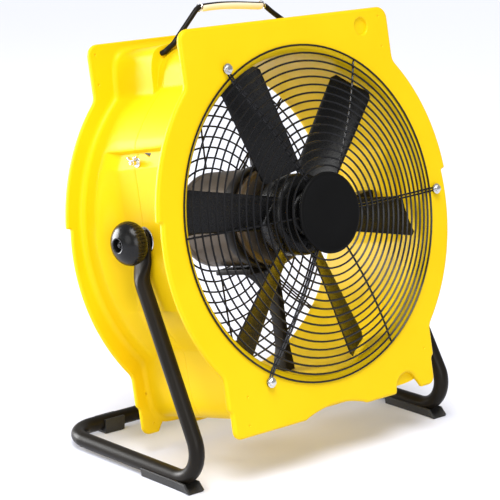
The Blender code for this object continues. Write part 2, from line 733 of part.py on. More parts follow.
def build_pivots(housing):
    wall = POCKET_FLAT_X + GAP
    tab_out = ARM_TOP_X + TAB_THICK / 2
    plate = [(CORE, wall), (PIVOT_PLATE_R, wall), (PIVOT_PLATE_R, wall + 0.0022), (STUD_R, wall + 0.0022),
             (STUD_R, STUD_END_X), (CORE, STUD_END_X)]
    washer = [(STUD_R + GAP, tab_out + GAP), (WASHER_R, tab_out + GAP), (WASHER_R, tab_out + 0.0018),
              (STUD_R + GAP, tab_out + 0.0018)]
    skirt = tab_out + 0.0021
    knob = [(STUD_R + GAP, skirt), (KNOB_SKIRT_R, skirt), (0.0262, skirt + 0.004), (0.0300, skirt + 0.0065),
            (KNOB_R, 0.2560), (0.0300, 0.2645), (0.0255, 0.2715), (0.0185, 0.2758), (0.0115, KNOB_FACE_X),
            (KNOB_RECESS_R, KNOB_FACE_X - 0.0008), (KNOB_RECESS_R, 0.2670), (STUD_R + GAP, 0.2670)]
    nut = [(CORE, 0.2674), (NUT_R, 0.2674), (NUT_R, 0.2715), (0.0045, 0.2735), (CORE, 0.2740)]
    for side, name in ((-1, "left"), (1, "right")):
        def flip(profile):
            return [(radius, side * x) for radius, x in profile]

        add_piece(f"pivot_stud_{name}", turned(flip(plate), 16, "X"), BRIGHT_ZINC, housing)
        add_piece(f"pivot_washer_{name}", turned(flip(washer), 16, "X", True), BRIGHT_ZINC, None,
                  (0, PIVOT_Y, PIVOT_Z))
        add_piece(f"knob_{name}", turned(flip(knob), 18, "X", True), BLACK_PLASTIC, housing)
        add_piece(f"knob_nut_{name}", turned(flip(nut), 6, "X"), BLACK_STEEL, housing)


# ---------------------------------------------------------------- side fittings

def build_wing_screw(housing):
    """The wing screw in the pocket's floor, just under the shelf."""
    screw = turned([(CORE, 0.0024), (0.0025, 0.0024), (0.0025, 0.0), (0.0075, 0.0), (0.0070, -0.0015),
                    (0.0045, -0.0025), (0.0042, -0.0120), (CORE, -0.0125)], 10, "X")
    piece = add_piece("wing_screw", screw, BRIGHT_ZINC, housing, WING_SCREW)
    for side, name in ((-1, "back"), (1, "front")):
        wing = block((-0.0105, -0.0012, 0.0), (-0.0045, 0.0012, 0.0125), 0.0008)
        bmesh.ops.rotate(wing, verts=wing.verts, cent=(0, 0, 0), matrix=Matrix.Rotation(side * 1.35, 3, "X"))
        join(piece, add_cutter(f"guide_wing_{name}", wing, housing, WING_SCREW))


def build_switch(housing):
    """The control box on the right of the drum: a lidded box, a rocker in its bezel and a cable gland."""
    x, y, z = SWITCH_FACE
    box = block((x - 0.026, y - 0.034, z - 0.028), (x, y + 0.034, z + 0.028), 0.003)
    add_piece("switch_box", box, BLACK_PLASTIC, housing)
    half_y, half_z = 0.0072, 0.0112
    rim = 0.0032
    rings = []
    for reach, wide in ((0.0, 0.0), (0.0, rim), (0.0030, rim), (0.0042, rim * 0.6), (0.0042, 0.0)):
        corners = ((-1, -1), (1, -1), (1, 1), (-1, 1))
        rings.append([(reach, sy * (half_y + wide), sz * (half_z + wide)) for sy, sz in corners])
    bezel = loft(rings, True)
    add_piece("switch_bezel", bezel, BLACK_PLASTIC, housing, (x + GAP, y, z))
    pivot_x = x + 0.0045
    wide, tall = half_y - 0.0005, half_z - 0.0008
    outline = [(-0.0022, -tall + 0.0015), (-0.0022, tall - 0.0015), (0.0010, tall), (0.0026, tall * 0.96),
               (0.0016, 0.0), (0.0026, -tall * 0.96), (0.0010, -tall)]
    rocker = loft([[(px, sy * wide, pz) for px, pz in outline] for sy in (-1, 1)])
    add_piece("switch_rocker", rocker, RED_PLASTIC, housing, (pivot_x, y, z))
    gland = [(0.0042, 0.0), (0.0110, 0.0), (0.0110, 0.006), (0.0098, 0.007), (0.0098, 0.014),
             (0.0072, 0.018), (0.0042, 0.018)]
    place = (x - 0.0135, y + 0.034 + GAP, z)
    add_piece("cable_gland", turned(gland, 14, "Y", True), BLACK_PLASTIC, housing, place)


def build():
    clear_scene()
    housing = add_empty("housing_axis", (0.0, PIVOT_Y, PIVOT_Z), (-PITCH, 0.0, 0.0))
    build_shells(housing)
    build_guards(housing)
    build_impeller(housing)
    build_motor(housing)
    build_motor_mount(housing)
    build_handle(housing)
    build_stand()
    build_feet()
    build_pivots(housing)
    build_wing_screw(housing)
    build_switch(housing)


build()
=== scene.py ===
"""The looks of the axial air mover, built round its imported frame. Metres, in the row's frame.

Most pieces are drawn in the housing's own frame, level, with the fan axis along Y, and are then
leaned back with the housing. The CAD nodes that a finer piece stands for aren't shown."""
import json
import math

import bmesh
import bpy
from mathutils import Matrix, Vector


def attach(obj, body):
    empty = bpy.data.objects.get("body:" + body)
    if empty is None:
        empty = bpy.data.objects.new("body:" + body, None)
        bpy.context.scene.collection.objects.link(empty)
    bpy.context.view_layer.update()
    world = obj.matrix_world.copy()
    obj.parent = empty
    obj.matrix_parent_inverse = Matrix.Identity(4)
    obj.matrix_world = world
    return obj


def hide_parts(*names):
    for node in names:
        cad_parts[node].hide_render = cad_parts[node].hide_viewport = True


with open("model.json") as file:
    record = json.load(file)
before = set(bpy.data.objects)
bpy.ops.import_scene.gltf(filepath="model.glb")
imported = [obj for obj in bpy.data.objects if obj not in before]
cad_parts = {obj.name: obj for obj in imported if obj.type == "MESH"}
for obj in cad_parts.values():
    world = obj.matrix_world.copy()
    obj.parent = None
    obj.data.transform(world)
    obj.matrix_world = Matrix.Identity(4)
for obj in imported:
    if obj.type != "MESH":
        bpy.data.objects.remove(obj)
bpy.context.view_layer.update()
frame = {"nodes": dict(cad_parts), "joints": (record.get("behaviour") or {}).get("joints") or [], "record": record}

# The housing leans back round its own centre, where the fan axis crosses the tilt axis.
PITCH = math.radians(11.8)
JOINTS = {joint["name"]: joint for joint in frame["joints"]}
CENTRE = Vector(JOINTS["housing_tilt"]["pos_m"])
HOUSING = Matrix.Translation(CENTRE) @ Matrix.Rotation(-PITCH, 4, "X")

# Half shells.
FACE_Y = 0.1065
FLANGE = 0.0085
PLATE_TOP = 0.282
PLATE_HALF = 0.2025
PLATE_CORNER = 0.018
ROUND_R = 0.2855
LOWER_R = 0.279
LOWER_Z = -0.0125
STEP_Z = 0.0275
FOOT_HALF = 0.2065
FOOT_TIP_HALF = 0.2015
FOOT_STEP_Z = -0.247
FOOT_BOTTOM = -0.2885
FOOT_CORNER = 0.012
NOTCH_X = 0.1435
NOTCH_R = 0.0225
FILLET = 0.020
OPENING_R = 0.2415
REAR_OPENING_R = 0.234
DUCT_R = 0.2305
DUCT_FLAT_X = 0.2185
DUCT_FLAT_DEPTH = 0.046
DUCT_ROUND_DEPTH = 0.057
WAIST_R = 0.258
POCKET_R = 0.248
POCKET_FLAT_X = 0.2265
POCKET_RIM_X = 0.2370
POCKET_TOP_Z = 0.128
POCKET_RUN_OUT = (0.036, 0.070)
SHELF_ROUND_Z = 0.142
SHELF_DROP = 0.5
COLUMN_TOP = (0.163, 0.268, 14)
COLUMN_TOP_CUT = (0.158, 0.262, 8)
COLUMN_FOOT = (0.185, 0.270, 14)
HANDLE_WALL_Y = 0.0130
ARCH_X = -0.004
ARCH_HALF = 0.062
ARCH_RISE = 0.0115
GAP = 0.0003
LIP_START = 0.0965
EDGE_ROUND = 0.0042
BACK_ROUND = 0.0020
EDGE_STEP = 0.0002
ROOT_ROUND = 0.0090
SEAM_GROOVE = 0.0012
DISH = (0.145, 0.2566)
SLOT_CORNERS = [(-0.0125, 0.1214), (-0.0290, 0.1203), (-0.0275, 0.1145)]
OUTLET_PINS = [(-0.1706, -0.2322), (-0.1744, -0.2724), (0.1829, 0.2682), (0.1829, 0.2236), (0.1867, -0.2320)]
INLET_PINS = [(-0.1918, 0.2671), (-0.1925, 0.2238), (-0.1884, -0.2292), (-0.1815, -0.2737)]
WAIST_DEPTHS = {
    -1: [0.0885, 0.080, 0.070, 0.063, 0.0585, 0.0570, 0.0555, 0.052, 0.049, 0.044, 0.038, 0.030, 0.022, 0.014,
         0.006, 0.0025],
    1: [0.0885, 0.080, 0.0745, 0.070, 0.0665, 0.063, 0.0595, 0.056, 0.0525, 0.049, 0.0455, 0.042, 0.039,
        0.036, 0.030, 0.024, 0.018, 0.0145, 0.0138, 0.0135, 0.0132, 0.0129, 0.0126, 0.0122, 0.0115, 0.009,
        0.005, 0.0025],
}

# Guards.
WIRE_R = 0.0015
WIRE_STAND_OFF = 0.0018
DOME = 0.028
REAR_DOME = 0.010
SPOKE_APART = 0.0021
SPOKE_BEHIND = 0.0027
EYELET_R = 0.0052
BADGE_R = 0.0585
FIRST_RING_R = BADGE_R + 0.009
FRONT_RINGS = 16
REAR_RINGS = 11
GUARD_BOLT_R = 0.2545
REAR_BOLT_R = 0.2495
BOLT_HEAD_R = 0.0056
REAR_RIM_R = 0.2370
REAR_CENTRE_R = 0.078

# Impeller and motor.
BLADE_FIRST = math.radians(51.0)
BLADE_Y = -0.0755
BLADE_TIP = 0.2255
BLADE_ROOT = 0.062
BLADE_TIP_HALF = 0.0337
BLADE_ROOT_HALF = 0.030
BLADE_PITCH = math.radians(24.5)
BLADE_THICK = 0.0036
BLADE_CORNER = 0.006
HUB_R = 0.060
HUB_BOLT_R = 0.047
SHAFT_R = 0.0095
MOTOR_R = 0.072
MOTOR_SCREW_R = 0.052
MOTOR_FRONT = -0.030
MOTOR_REAR = 0.128
MOUNT_Y = (-0.012, 0.010)

# Handle, in the housing's frame.
HANDLE_Y = 0.008
HANDLE_ROD_R = 0.004
HANDLE_FOOT = (0.139, 0.256)
HANDLE_KNEE = (0.119, 0.267)
HANDLE_BAR = (0.064, 0.315)
SLEEVE_HALF = 0.058

# Stand.
PIVOT_Y = CENTRE.y
PIVOT_Z = CENTRE.z
TUBE_R = 0.0115
ARM_TOP_X = 0.2335
ARM_X = 0.2485
TAB_HALF = 0.0165
TAB_THICK = 0.0075
TAB_TOP = 0.0165
TAB_REACH = 0.026
TAB_RUN_OUT = 0.036
FLOOR_RUN_Z = 0.0153
FRONT_BEND_Y = -0.1727
CROSSBAR_Y = 0.1578
SHOULDER = (0.004, 0.044)
FRONT_BEND_R = 0.042
REAR_BEND_R = 0.052
FRONT_FOOT_Y = -0.1307
REAR_FOOT_X = 0.166

# Tilt knobs and side fittings.
KNOB_R = 0.0315
KNOB_SKIRT_R = 0.024
KNOB_FACE_X = 0.2771
KNOB_GROOVES = 36
STUD_R = 0.005
WING_SCREW = (-0.2263, -0.006, 0.110)
SWITCH_FACE = (0.1910, -0.040, 0.232)

# Drawing.
SMOOTH = math.radians(32)
CORE = 0.0002   # the least radius of a turned profile, in place of its axis
BLOTCH = 9.0    # the scale of the noise that a paint's colour drifts with


# ---------------------------------------------------------------- materials

def set_in(node, **values):
    """Set a shader node's inputs by name, with underscores for spaces."""
    for name, value in values.items():
        node.inputs[name.replace("_", " ")].default_value = value
    return node


def ramp_of(tree, source, stops):
    """A colour ramp on source, with (position, colour) stops."""
    ramp = tree.nodes.new("ShaderNodeValToRGB")
    elements = ramp.color_ramp.elements
    while len(elements) < len(stops):
        elements.new(0.5)
    for element, (position, colour) in zip(elements, stops):
        element.position = position
        element.color = (*colour, 1.0)
    tree.links.new(source, ramp.inputs["Fac"])
    return ramp.outputs["Color"]


def range_of(tree, source, low, high, start=0.0, stop=1.0):
    """The source's range from start to stop, mapped onto low to high."""
    mapped = tree.nodes.new("ShaderNodeMapRange")
    set_in(mapped, From_Min=start, From_Max=stop, To_Min=low, To_Max=high)
    tree.links.new(source, mapped.inputs["Value"])
    return mapped.outputs["Result"]


def noise_of(tree, scale, detail):
    """A noise in the object's own coordinates."""
    place = tree.nodes.new("ShaderNodeTexCoord")
    grain = set_in(tree.nodes.new("ShaderNodeTexNoise"), Scale=scale, Detail=detail)
    tree.links.new(place.outputs["Object"], grain.inputs["Vector"])
    return grain.outputs["Fac"]


def bump_of(tree, shader, height, distance, strength):
    """Relief on the shader's surface from a height."""
    bump = set_in(tree.nodes.new("ShaderNodeBump"), Distance=distance, Strength=strength)
    tree.links.new(height, bump.inputs["Height"])
    tree.links.new(bump.outputs["Normal"], shader.inputs["Normal"])


def surface(name, colours, roughness, grain, relief=(0.0002, 0.25), metallic=0.0, specular=0.5):
    """A Principled material whose colour drifts between two colours in blotches.
    A fine grain runs in its roughness, from the lowest value to the highest, and in its relief, given
    as the bump's distance and strength."""
    made = bpy.data.materials.new(name)
    made.use_nodes = True
    tree = made.node_tree
    shader = tree.nodes["Principled BSDF"]
    set_in(shader, Metallic=metallic, Specular_IOR_Level=specular)
    drift = noise_of(tree, BLOTCH, 3.0)
    tree.links.new(ramp_of(tree, drift, [(0.3, colours[0]), (0.7, colours[1])]), shader.inputs["Base Color"])
    fine = noise_of(tree, grain, 5.0)
    tree.links.new(range_of(tree, fine, *roughness, 0.3, 0.7), shader.inputs["Roughness"])
    bump_of(tree, shader, fine, *relief)
    return made


YELLOW = surface("yellow_polyethylene", ((0.79, 0.520, 0.003), (0.81, 0.548, 0.005)), (0.32, 0.40), 260.0,
                 (0.0001, 0.05), specular=0.11)
SATIN_BLACK = surface("satin_powder_coat", ((0.0080, 0.0064, 0.0046), (0.0120, 0.0098, 0.0072)), (0.30, 0.42),
                      900.0, (0.0002, 0.20), specular=0.13)
WIRE_BLACK = surface("wire_powder_coat", ((0.008, 0.008, 0.009), (0.013, 0.013, 0.014)), (0.16, 0.24), 900.0,
                     (0.0001, 0.1), specular=0.22)
BLADE_BLACK = surface("blade_nylon", ((0.0035,) * 3, (0.0070,) * 3), (0.24, 0.34), 500.0, (0.0002, 0.15),
                      specular=0.20)
BADGE_BLACK = surface("badge_black", ((0.004,) * 3, (0.006,) * 3), (0.34, 0.44), 700.0, (0.0001, 0.1),
                      specular=0.05)
KNOB_BLACK = surface("knob_black", ((0.0045,) * 3, (0.0080,) * 3), (0.20, 0.28), 400.0, (0.0001, 0.1),
                     specular=0.26)
RUBBER = surface("foot_rubber", ((0.014, 0.0135, 0.013), (0.020, 0.019, 0.018)), (0.55, 0.75), 700.0,
                 (0.0003, 0.3))
MOTOR_PAINT = surface("motor_paint", ((0.118, 0.094, 0.070), (0.158, 0.128, 0.098)), (0.34, 0.46), 300.0,
                      (0.0002, 0.15), metallic=0.7)
ZINC = surface("bright_zinc", ((0.62, 0.62, 0.62), (0.78, 0.78, 0.77)), (0.16, 0.26), 600.0, (0.0001, 0.15),
               metallic=1.0)
GRIP = surface("grip_sleeve", ((0.86, 0.79, 0.66), (0.92, 0.86, 0.75)), (0.42, 0.55), 300.0, (0.0003, 0.2))
CASE_BLACK = surface("case_black", ((0.010, 0.010, 0.011), (0.016, 0.016, 0.017)), (0.38, 0.5), 800.0,
                     (0.0003, 0.25))
ROCKER_RED = surface("rocker_red", ((0.50, 0.02, 0.012), (0.58, 0.03, 0.02)), (0.22, 0.30), 300.0)
PAINTS = {
    "shell_yellow": YELLOW, "stand_black": SATIN_BLACK, "mount_steel": SATIN_BLACK,
    "handle_steel": SATIN_BLACK, "guard_wire": WIRE_BLACK, "blade_black": BLADE_BLACK,
    "hub_black": BLADE_BLACK, "badge_black": BADGE_BLACK, "knob_black": KNOB_BLACK, "foot_rubber": RUBBER,
    "motor_paint": MOTOR_PAINT, "bright_zinc": ZINC, "ground_steel": ZINC, "grip_beige": GRIP,
    "case_black": CASE_BLACK, "rocker_red": ROCKER_RED,
}


# ---------------------------------------------------------------- mesh helpers

def new_object(name, data):
    """An object in the scene."""
    made = bpy.data.objects.new(name, data)
    bpy.context.scene.collection.objects.link(made)
    return made


def add_piece(name, shape, slot, *replaced, body="housing", paint=None, place=HOUSING, smooth=SMOOTH):
    """Turn a bmesh drawn in place's frame into a named piece that rides on a body.
    It stands for the replaced CAD nodes, and takes its slot's paint unless another one is given."""
    bmesh.ops.recalc_face_normals(shape, faces=shape.faces)
    mesh = bpy.data.meshes.new(name)
    shape.to_mesh(mesh)
    shape.free()
    mesh.transform(place)
    mesh.shade_smooth()
    mesh.set_sharp_from_angle(angle=smooth)
    mesh.materials.append(paint or PAINTS[slot])
    piece = new_object(name, mesh)
    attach(piece, body)
    if replaced:
        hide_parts(*replaced)
    return piece


def loft(rings, shape=None, closed=False):
    """Skin rings of equal length. The last is joined to the first if closed, and both are capped if not."""
    shape = shape or bmesh.new()
    rows = [[shape.verts.new(point) for point in ring] for ring in rings]
    pairs = list(zip(rows, rows[1:]))
    if closed:
        pairs.append((rows[-1], rows[0]))
    count = len(rows[0])
    for low, high in pairs:
        for i in range(count):
            j = (i + 1) % count
            shape.faces.new((low[i], low[j], high[j], high[i]))
    if not closed:
        shape.faces.new(rows[0])
        shape.faces.new(rows[-1])
    return shape


def full_turn(count):
    """The cosine and sine of equal steps round a full turn."""
    turns = [math.tau * i / count for i in range(count)]
    return [(math.cos(turn), math.sin(turn)) for turn in turns]


def quarter_turn(steps, first=0):
    """The sine and cosine of equal steps through a quarter turn, from the first one to its end."""
    turns = [math.radians(90 * i / steps) for i in range(first, steps + 1)]
    return [(math.sin(turn), math.cos(turn)) for turn in turns]


def turned(profile, sides, axis="Y", closed=False, shape=None, place=Matrix.Identity(4)):
    """Revolve (radius, height) points about the Y or X axis. An open profile is capped at its ends."""
    rings = []
    for radius, height in profile:
        points = [(radius * cosine, radius * sine) for cosine, sine in full_turn(sides)]
        rings.append([place @ Vector((a, height, b) if axis == "Y" else (height, a, b)) for a, b in points])
    return loft(rings, shape, closed)


def raised(profile, base):
    """A profile drawn from 0, with its heights moved up to base."""
    return [(radius, base + height) for radius, height in profile]


def round_axis(radius, angle):
    """The place of something turned, on a circle round the fan axis."""
    return Matrix.Translation((radius * math.cos(angle), 0, radius * math.sin(angle)))


def add_tube(shape, points, radius, sides=8, closed=False, first_side=(0.31, 0.92, 0.22)):
    """A round wire along points, with flat ends unless it is closed."""
    points = [Vector(point) for point in points]
    count = len(points)
    side = Vector(first_side)
    rings = []
    for i, point in enumerate(points):
        if closed:
            ahead = points[(i + 1) % count] - points[i - 1]
        else:
            ahead = points[min(i + 1, count - 1)] - points[max(i - 1, 0)]
        ahead.normalize()
        side = (side - ahead * side.dot(ahead)).normalized()
        other = ahead.cross(side)
        rings.append([point + (side * cosine + other * sine) * radius for cosine, sine in full_turn(sides)])
    return loft(rings, shape, closed)


def circle_points(radius, y, count):
    """Points on a circle round the fan axis."""
    return [(radius * cosine, y, radius * sine) for cosine, sine in full_turn(count)]


def arc(centre, radius, start, stop, steps):
    """Points on an arc in the x, z plane, by angles in degrees."""
    points = []
    for i in range(steps + 1):
        angle = math.radians(start + (stop - start) * i / steps)
        points.append((centre[0] + radius * math.cos(angle), centre[1] + radius * math.sin(angle)))
    return points


def rounded_rectangle(half_a, half_b, radius, steps):
    """Corner arcs of a rectangle round the origin, anticlockwise from its first quadrant."""
    ring = []
    for a, b, start in ((1, 1, 0), (-1, 1, 90), (-1, -1, 180), (1, -1, 270)):
        middle = (a * (half_a - radius), b * (half_b - radius))
        ring += arc(middle, radius, start, start + 90, steps)
    return ring


def mirrored(points):
    """The same outline on the other side of x = 0, in its own order."""
    return [(-x, z) for x, z in reversed(points)]


def share(value, start, stop):
    """How far value has come from start to stop, kept between 0 and 1."""
    return min(1.0, max(0.0, (value - start) / (stop - start)))


def ease(value, start, stop):
    """0 up to start, 1 from stop on, and a smooth step between them."""
    part = share(value, start, stop)
    return part * part * (3 - 2 * part)


def repaint():
    """Give each CAD node its slot's paint."""
    slots = {row["node"]: row["material_slot"] for row in frame["record"]["subparts"]}
    for name, node in frame["nodes"].items():
        node.data.materials.clear()
        node.data.materials.append(PAINTS[slots[name]])


# ---------------------------------------------------------------- half shells

def side_fillet(radius, centre_z, side_x, upward, steps=6):
    """The hollow fillet between a circle on the z axis and an upright side at side_x."""
    reach = radius + FILLET
    middle_x = side_x + FILLET
    rise = math.sqrt(reach ** 2 - middle_x ** 2)
    lean = math.degrees(math.atan2(rise, middle_x))
    if upward:
        return lean, arc((middle_x, centre_z + rise), FILLET, 180 + lean, 180, steps)
    return lean, arc((middle_x, centre_z - rise), FILLET, 180, 180 - lean, steps)


def plate_outline():
    """The flange's outline, anticlockwise as seen from the outlet side."""
    lean, fillet = side_fillet(ROUND_R, 0.0, PLATE_HALF, True)
    first = math.degrees(math.asin((STEP_Z + 0.001) / ROUND_R))
    upper = arc((0, 0), ROUND_R, first, lean, 40)[:-1] + fillet
    corner = (PLATE_HALF - PLATE_CORNER, PLATE_TOP - PLATE_CORNER)
    upper += arc(corner, PLATE_CORNER, 0, 90, 10)

    lean, fillet = side_fillet(LOWER_R, LOWER_Z, FOOT_HALF, False)
    last = math.degrees(math.asin((STEP_Z - 0.001 - LOWER_Z) / LOWER_R))
    tip = (FOOT_TIP_HALF - FOOT_CORNER, FOOT_BOTTOM + FOOT_CORNER)
    lower = arc(tip, FOOT_CORNER, -90, 0, 8)
    lower += [(FOOT_TIP_HALF, FOOT_STEP_Z - 0.0025), (FOOT_HALF, FOOT_STEP_Z + 0.0025)]
    lower += fillet + arc((0, LOWER_Z), LOWER_R, -lean, last, 48)[1:]

    arch = []
    for i in range(25):
        part = i / 24
        lift = ARCH_RISE * math.sin(math.pi * part) ** 0.8 if 0 < i < 24 else 0.0
        arch.append((ARCH_X + ARCH_HALF * (2 * part - 1), FOOT_BOTTOM + lift))
    notch = [(NOTCH_X - NOTCH_R - 0.0025, FOOT_BOTTOM)]
    notch += arc((NOTCH_X, FOOT_BOTTOM + 0.005), NOTCH_R, 180, 34, 18)
    notch += [(NOTCH_X + NOTCH_R + 0.0074, FOOT_BOTTOM)]
    return upper + mirrored(upper) + mirrored(lower) + arch + notch + lower


def cut_corners(outline, most):
    """Replace each corner by two points, no further than most from it."""
    cut = []
    count = len(outline)
    for i, (x, z) in enumerate(outline):
        for other in (outline[i - 1], outline[(i + 1) % count]):
            away = math.dist((x, z), other)
            part = min(0.25, most / max(away, 1e-9))
            cut.append((x + (other[0] - x) * part, z + (other[1] - z) * part))
    return cut


def fill_in(outline, widest):
    """Add points along edges that the fan axis sees under a wide angle."""
    points = []
    for start, stop in zip(outline, outline[1:] + outline[:1]):
        points.append(start)
        turn = math.atan2(stop[1], stop[0]) - math.atan2(start[1], start[0])
        turn = (turn + math.pi) % math.tau - math.pi
        count = math.ceil(turn / widest)
        for i in range(1, count):
            part = i / count
            points.append((start[0] + (stop[0] - start[0]) * part, start[1] + (stop[1] - start[1]) * part))
    return points


def inset(outline, distance):
    """The outline moved inwards along the bisector of each corner."""
    moved = []
    for before, here, after in zip(outline[-1:] + outline[:-1], outline, outline[1:] + outline[:1]):
        first = Vector((here[0] - before[0], here[1] - before[1])).normalized()
        second = Vector((after[0] - here[0], after[1] - here[1])).normalized()
        normal = Vector((-(first.y + second.y), first.x + second.x)).normalized()
        stretch = max(0.6, normal.dot(Vector((-first.y, first.x))))
        moved.append((here[0] + normal.x * distance / stretch, here[1] + normal.y * distance / stretch))
    return unfolded(moved)


def unfolded(points):
    """Points smoothed wherever the fan axis would see their order reversed."""
    count = len(points)
    for _ in range(60):
        folds = 0
        for i in range(count):
            j = (i + 1) % count
            if points[i][0] * points[j][1] - points[i][1] * points[j][0] < 1e-5:
                folds += 1
                for k in (i, j):
                    before, after = points[k - 1], points[(k + 1) % count]
                    points[k] = ((before[0] + after[0]) / 2, (before[1] + after[1]) / 2)
        if not folds:
            break
    return points


def soft_box_radius(angle, half_x, half_z, power):
    """Radius of a box with rounded corners, seen from its middle. A high power makes sharper corners."""
    return (abs(math.cos(angle) / half_x) ** power + abs(math.sin(angle) / half_z) ** power) ** (-1 / power)


def clipped_radius(angle, radius, flat_x, soft=0.0):
    """Radius of a circle with an upright flat at each side."""
    flat = flat_x / max(abs(math.cos(angle)), 0.01)
    if not soft:
        return min(radius, flat)
    return (radius + flat - math.sqrt((radius - flat) ** 2 + soft ** 2)) / 2


def soft_larger(a, b, soft):
    """The larger of two radii, blended where they are close."""
    return (a + b + math.sqrt((a - b) ** 2 + soft ** 2)) / 2


def waist_radius(angle, y):
    """Radius of the wall between the flanges.
    Beside the stand's arms the drum has a pocket with a flat bottom, under a rounded shelf. The pocket
    runs out behind the arms. The top corners are cut back where the handle comes down."""
    column = COLUMN_FOOT
    if math.sin(angle) > 0:
        part = ease(y, HANDLE_WALL_Y - 0.001, HANDLE_WALL_Y + 0.0005)
        column = tuple(a + (b - a) * part for a, b in zip(COLUMN_TOP_CUT, COLUMN_TOP))
    boxed = soft_box_radius(angle, *column)
    height = math.sin(angle) * WAIST_R
    flat = POCKET_FLAT_X if y > -DUCT_ROUND_DEPTH + 0.001 else POCKET_RIM_X
    pocketed = clipped_radius(angle, POCKET_R, flat)
    depth = 1 - ease(y, *POCKET_RUN_OUT)
    if height > POCKET_TOP_Z:
        below = max(0.0, SHELF_ROUND_Z - height) / (SHELF_ROUND_Z - POCKET_TOP_Z)
        depth *= SHELF_DROP * (1 - math.sqrt(1 - (below * 0.98) ** 2))
    drum = WAIST_R + (pocketed - WAIST_R) * depth
    return soft_larger(drum, boxed, 0.005)


def polar_ring(angles, radius_at, y):
    """A ring round the fan axis, with its radius given by angle."""
    return [(radius_at(a) * math.cos(a), y, radius_at(a) * math.sin(a)) for a in angles]


def shell_rings(outline, side, opening):
    """The rings of one half shell, from the duct's seam edge round the flange and back to the seam."""
    angles = [math.atan2(z, x) for x, z in outline]
    rings = []

    def add(radius_at, depth):
        rings.append(polar_ring(angles, radius_at, side * depth))

    def add_inset(distance, depth):
        rings.append([(x, side * depth, z) for x, z in inset(outline, distance)])

    def flat_duct(angle):
        return clipped_radius(angle, DUCT_R, DUCT_FLAT_X)

    def duct(angle, depth):
        return flat_duct(angle) + (DUCT_R - flat_duct(angle)) * ease(depth, DUCT_FLAT_DEPTH, DUCT_ROUND_DEPTH)

    for depth in (GAP / 2, 0.020, DUCT_FLAT_DEPTH, 0.0485, 0.0515, 0.0545, DUCT_ROUND_DEPTH, 0.075,
                  LIP_START):
        add(lambda a: duct(a, depth), depth)
    for sine, cosine in quarter_turn(8, 1):
        depth = LIP_START + (FACE_Y - LIP_START) * sine
        add(lambda a: DUCT_R + (opening - DUCT_R) * (1 - cosine), depth)
    inner = inset(outline, EDGE_ROUND)
    for part in (0.12, 0.5):
        ring = []
        for angle, (x, z) in zip(angles, inner):
            start = Vector((opening * math.cos(angle), opening * math.sin(angle)))
            point = start.lerp(Vector((x, z)), part)
            ring.append((point.x, side * FACE_Y, point.y))
        rings.append(ring)
    for sine, cosine in quarter_turn(5):
        add_inset(EDGE_ROUND * (1 - sine), FACE_Y - EDGE_ROUND * (1 - cosine))
    back = FACE_Y - FLANGE
    for sine, cosine in quarter_turn(3):
        add_inset(BACK_ROUND * (1 - cosine) + EDGE_STEP, back + BACK_ROUND * (1 - sine))
    for sine, cosine in quarter_turn(6):
        depth = back - ROOT_ROUND * (1 - cosine)
        add(lambda a: waist_radius(a, side * depth) + ROOT_ROUND * (1 - sine), depth)
    for depth in WAIST_DEPTHS[side]:
        add(lambda a: waist_radius(a, side * depth), depth)
    add(lambda a: waist_radius(a, side * SEAM_GROOVE), SEAM_GROOVE)
    add(lambda a: waist_radius(a, side * GAP) - 0.0003, GAP / 2)
    add(lambda a: waist_radius(a, side * GAP) - 0.0020, GAP / 2)
    return rings


def cut_with(piece, cutters):
    """Cut the closed cutter meshes out of piece, for good."""
    tools = []
    for i, shape in enumerate(cutters):
        mesh = bpy.data.meshes.new(f"cutter_{i}")
        bmesh.ops.recalc_face_normals(shape, faces=shape.faces)
        shape.to_mesh(mesh)
        shape.free()
        mesh.transform(HOUSING)
        tool = new_object(mesh.name, mesh)
        tools.append(tool)
        boolean = piece.modifiers.new(mesh.name, "BOOLEAN")
        boolean.operation = "DIFFERENCE"
        boolean.solver = "EXACT"
        boolean.object = tool
    bpy.context.view_layer.update()
    evaluated = piece.evaluated_get(bpy.context.evaluated_depsgraph_get())
    cut = bpy.data.meshes.new_from_object(evaluated)
    piece.modifiers.clear()
    piece.data = cut
    cut.set_sharp_from_angle(angle=SMOOTH)
    face_on = (HOUSING.to_3x3() @ Vector((0, 1, 0))).normalized()
    for face in cut.polygons:
        if abs(face.normal.dot(face_on)) > 0.99999:
            face.use_smooth = False
    for tool in tools:
        bpy.data.objects.remove(tool)


def pin_hole(x, z, face_y, radius=0.0016, depth=0.0015):
    """A small moulded dimple in a flange, as a cutter. It is pressed towards +Y from the face at face_y."""
    profile = [(CORE, face_y - 0.001), (radius * 1.5, face_y - 0.001), (radius * 1.4, face_y),
               (radius, face_y + 0.0005), (radius * 0.7, face_y + depth), (CORE, face_y + depth * 1.1)]
    return turned(profile, 16, place=Matrix.Translation((x, 0, z)))


def round_dimple(x, z, radius, depth):
    """A wide shallow dish in the outlet plate's front, as a cutter."""
    profile = [(CORE, -FACE_Y - 0.001), (radius * 1.02, -FACE_Y - 0.001), (radius, -FACE_Y)]
    for sine, cosine in quarter_turn(4, 1):
        profile.append((radius - 0.0022 * sine, -FACE_Y + depth * (1 - cosine)))
    profile.append((CORE, -FACE_Y + depth * 1.05))
    return turned(profile, 48, place=Matrix.Translation((x, 0, z)))


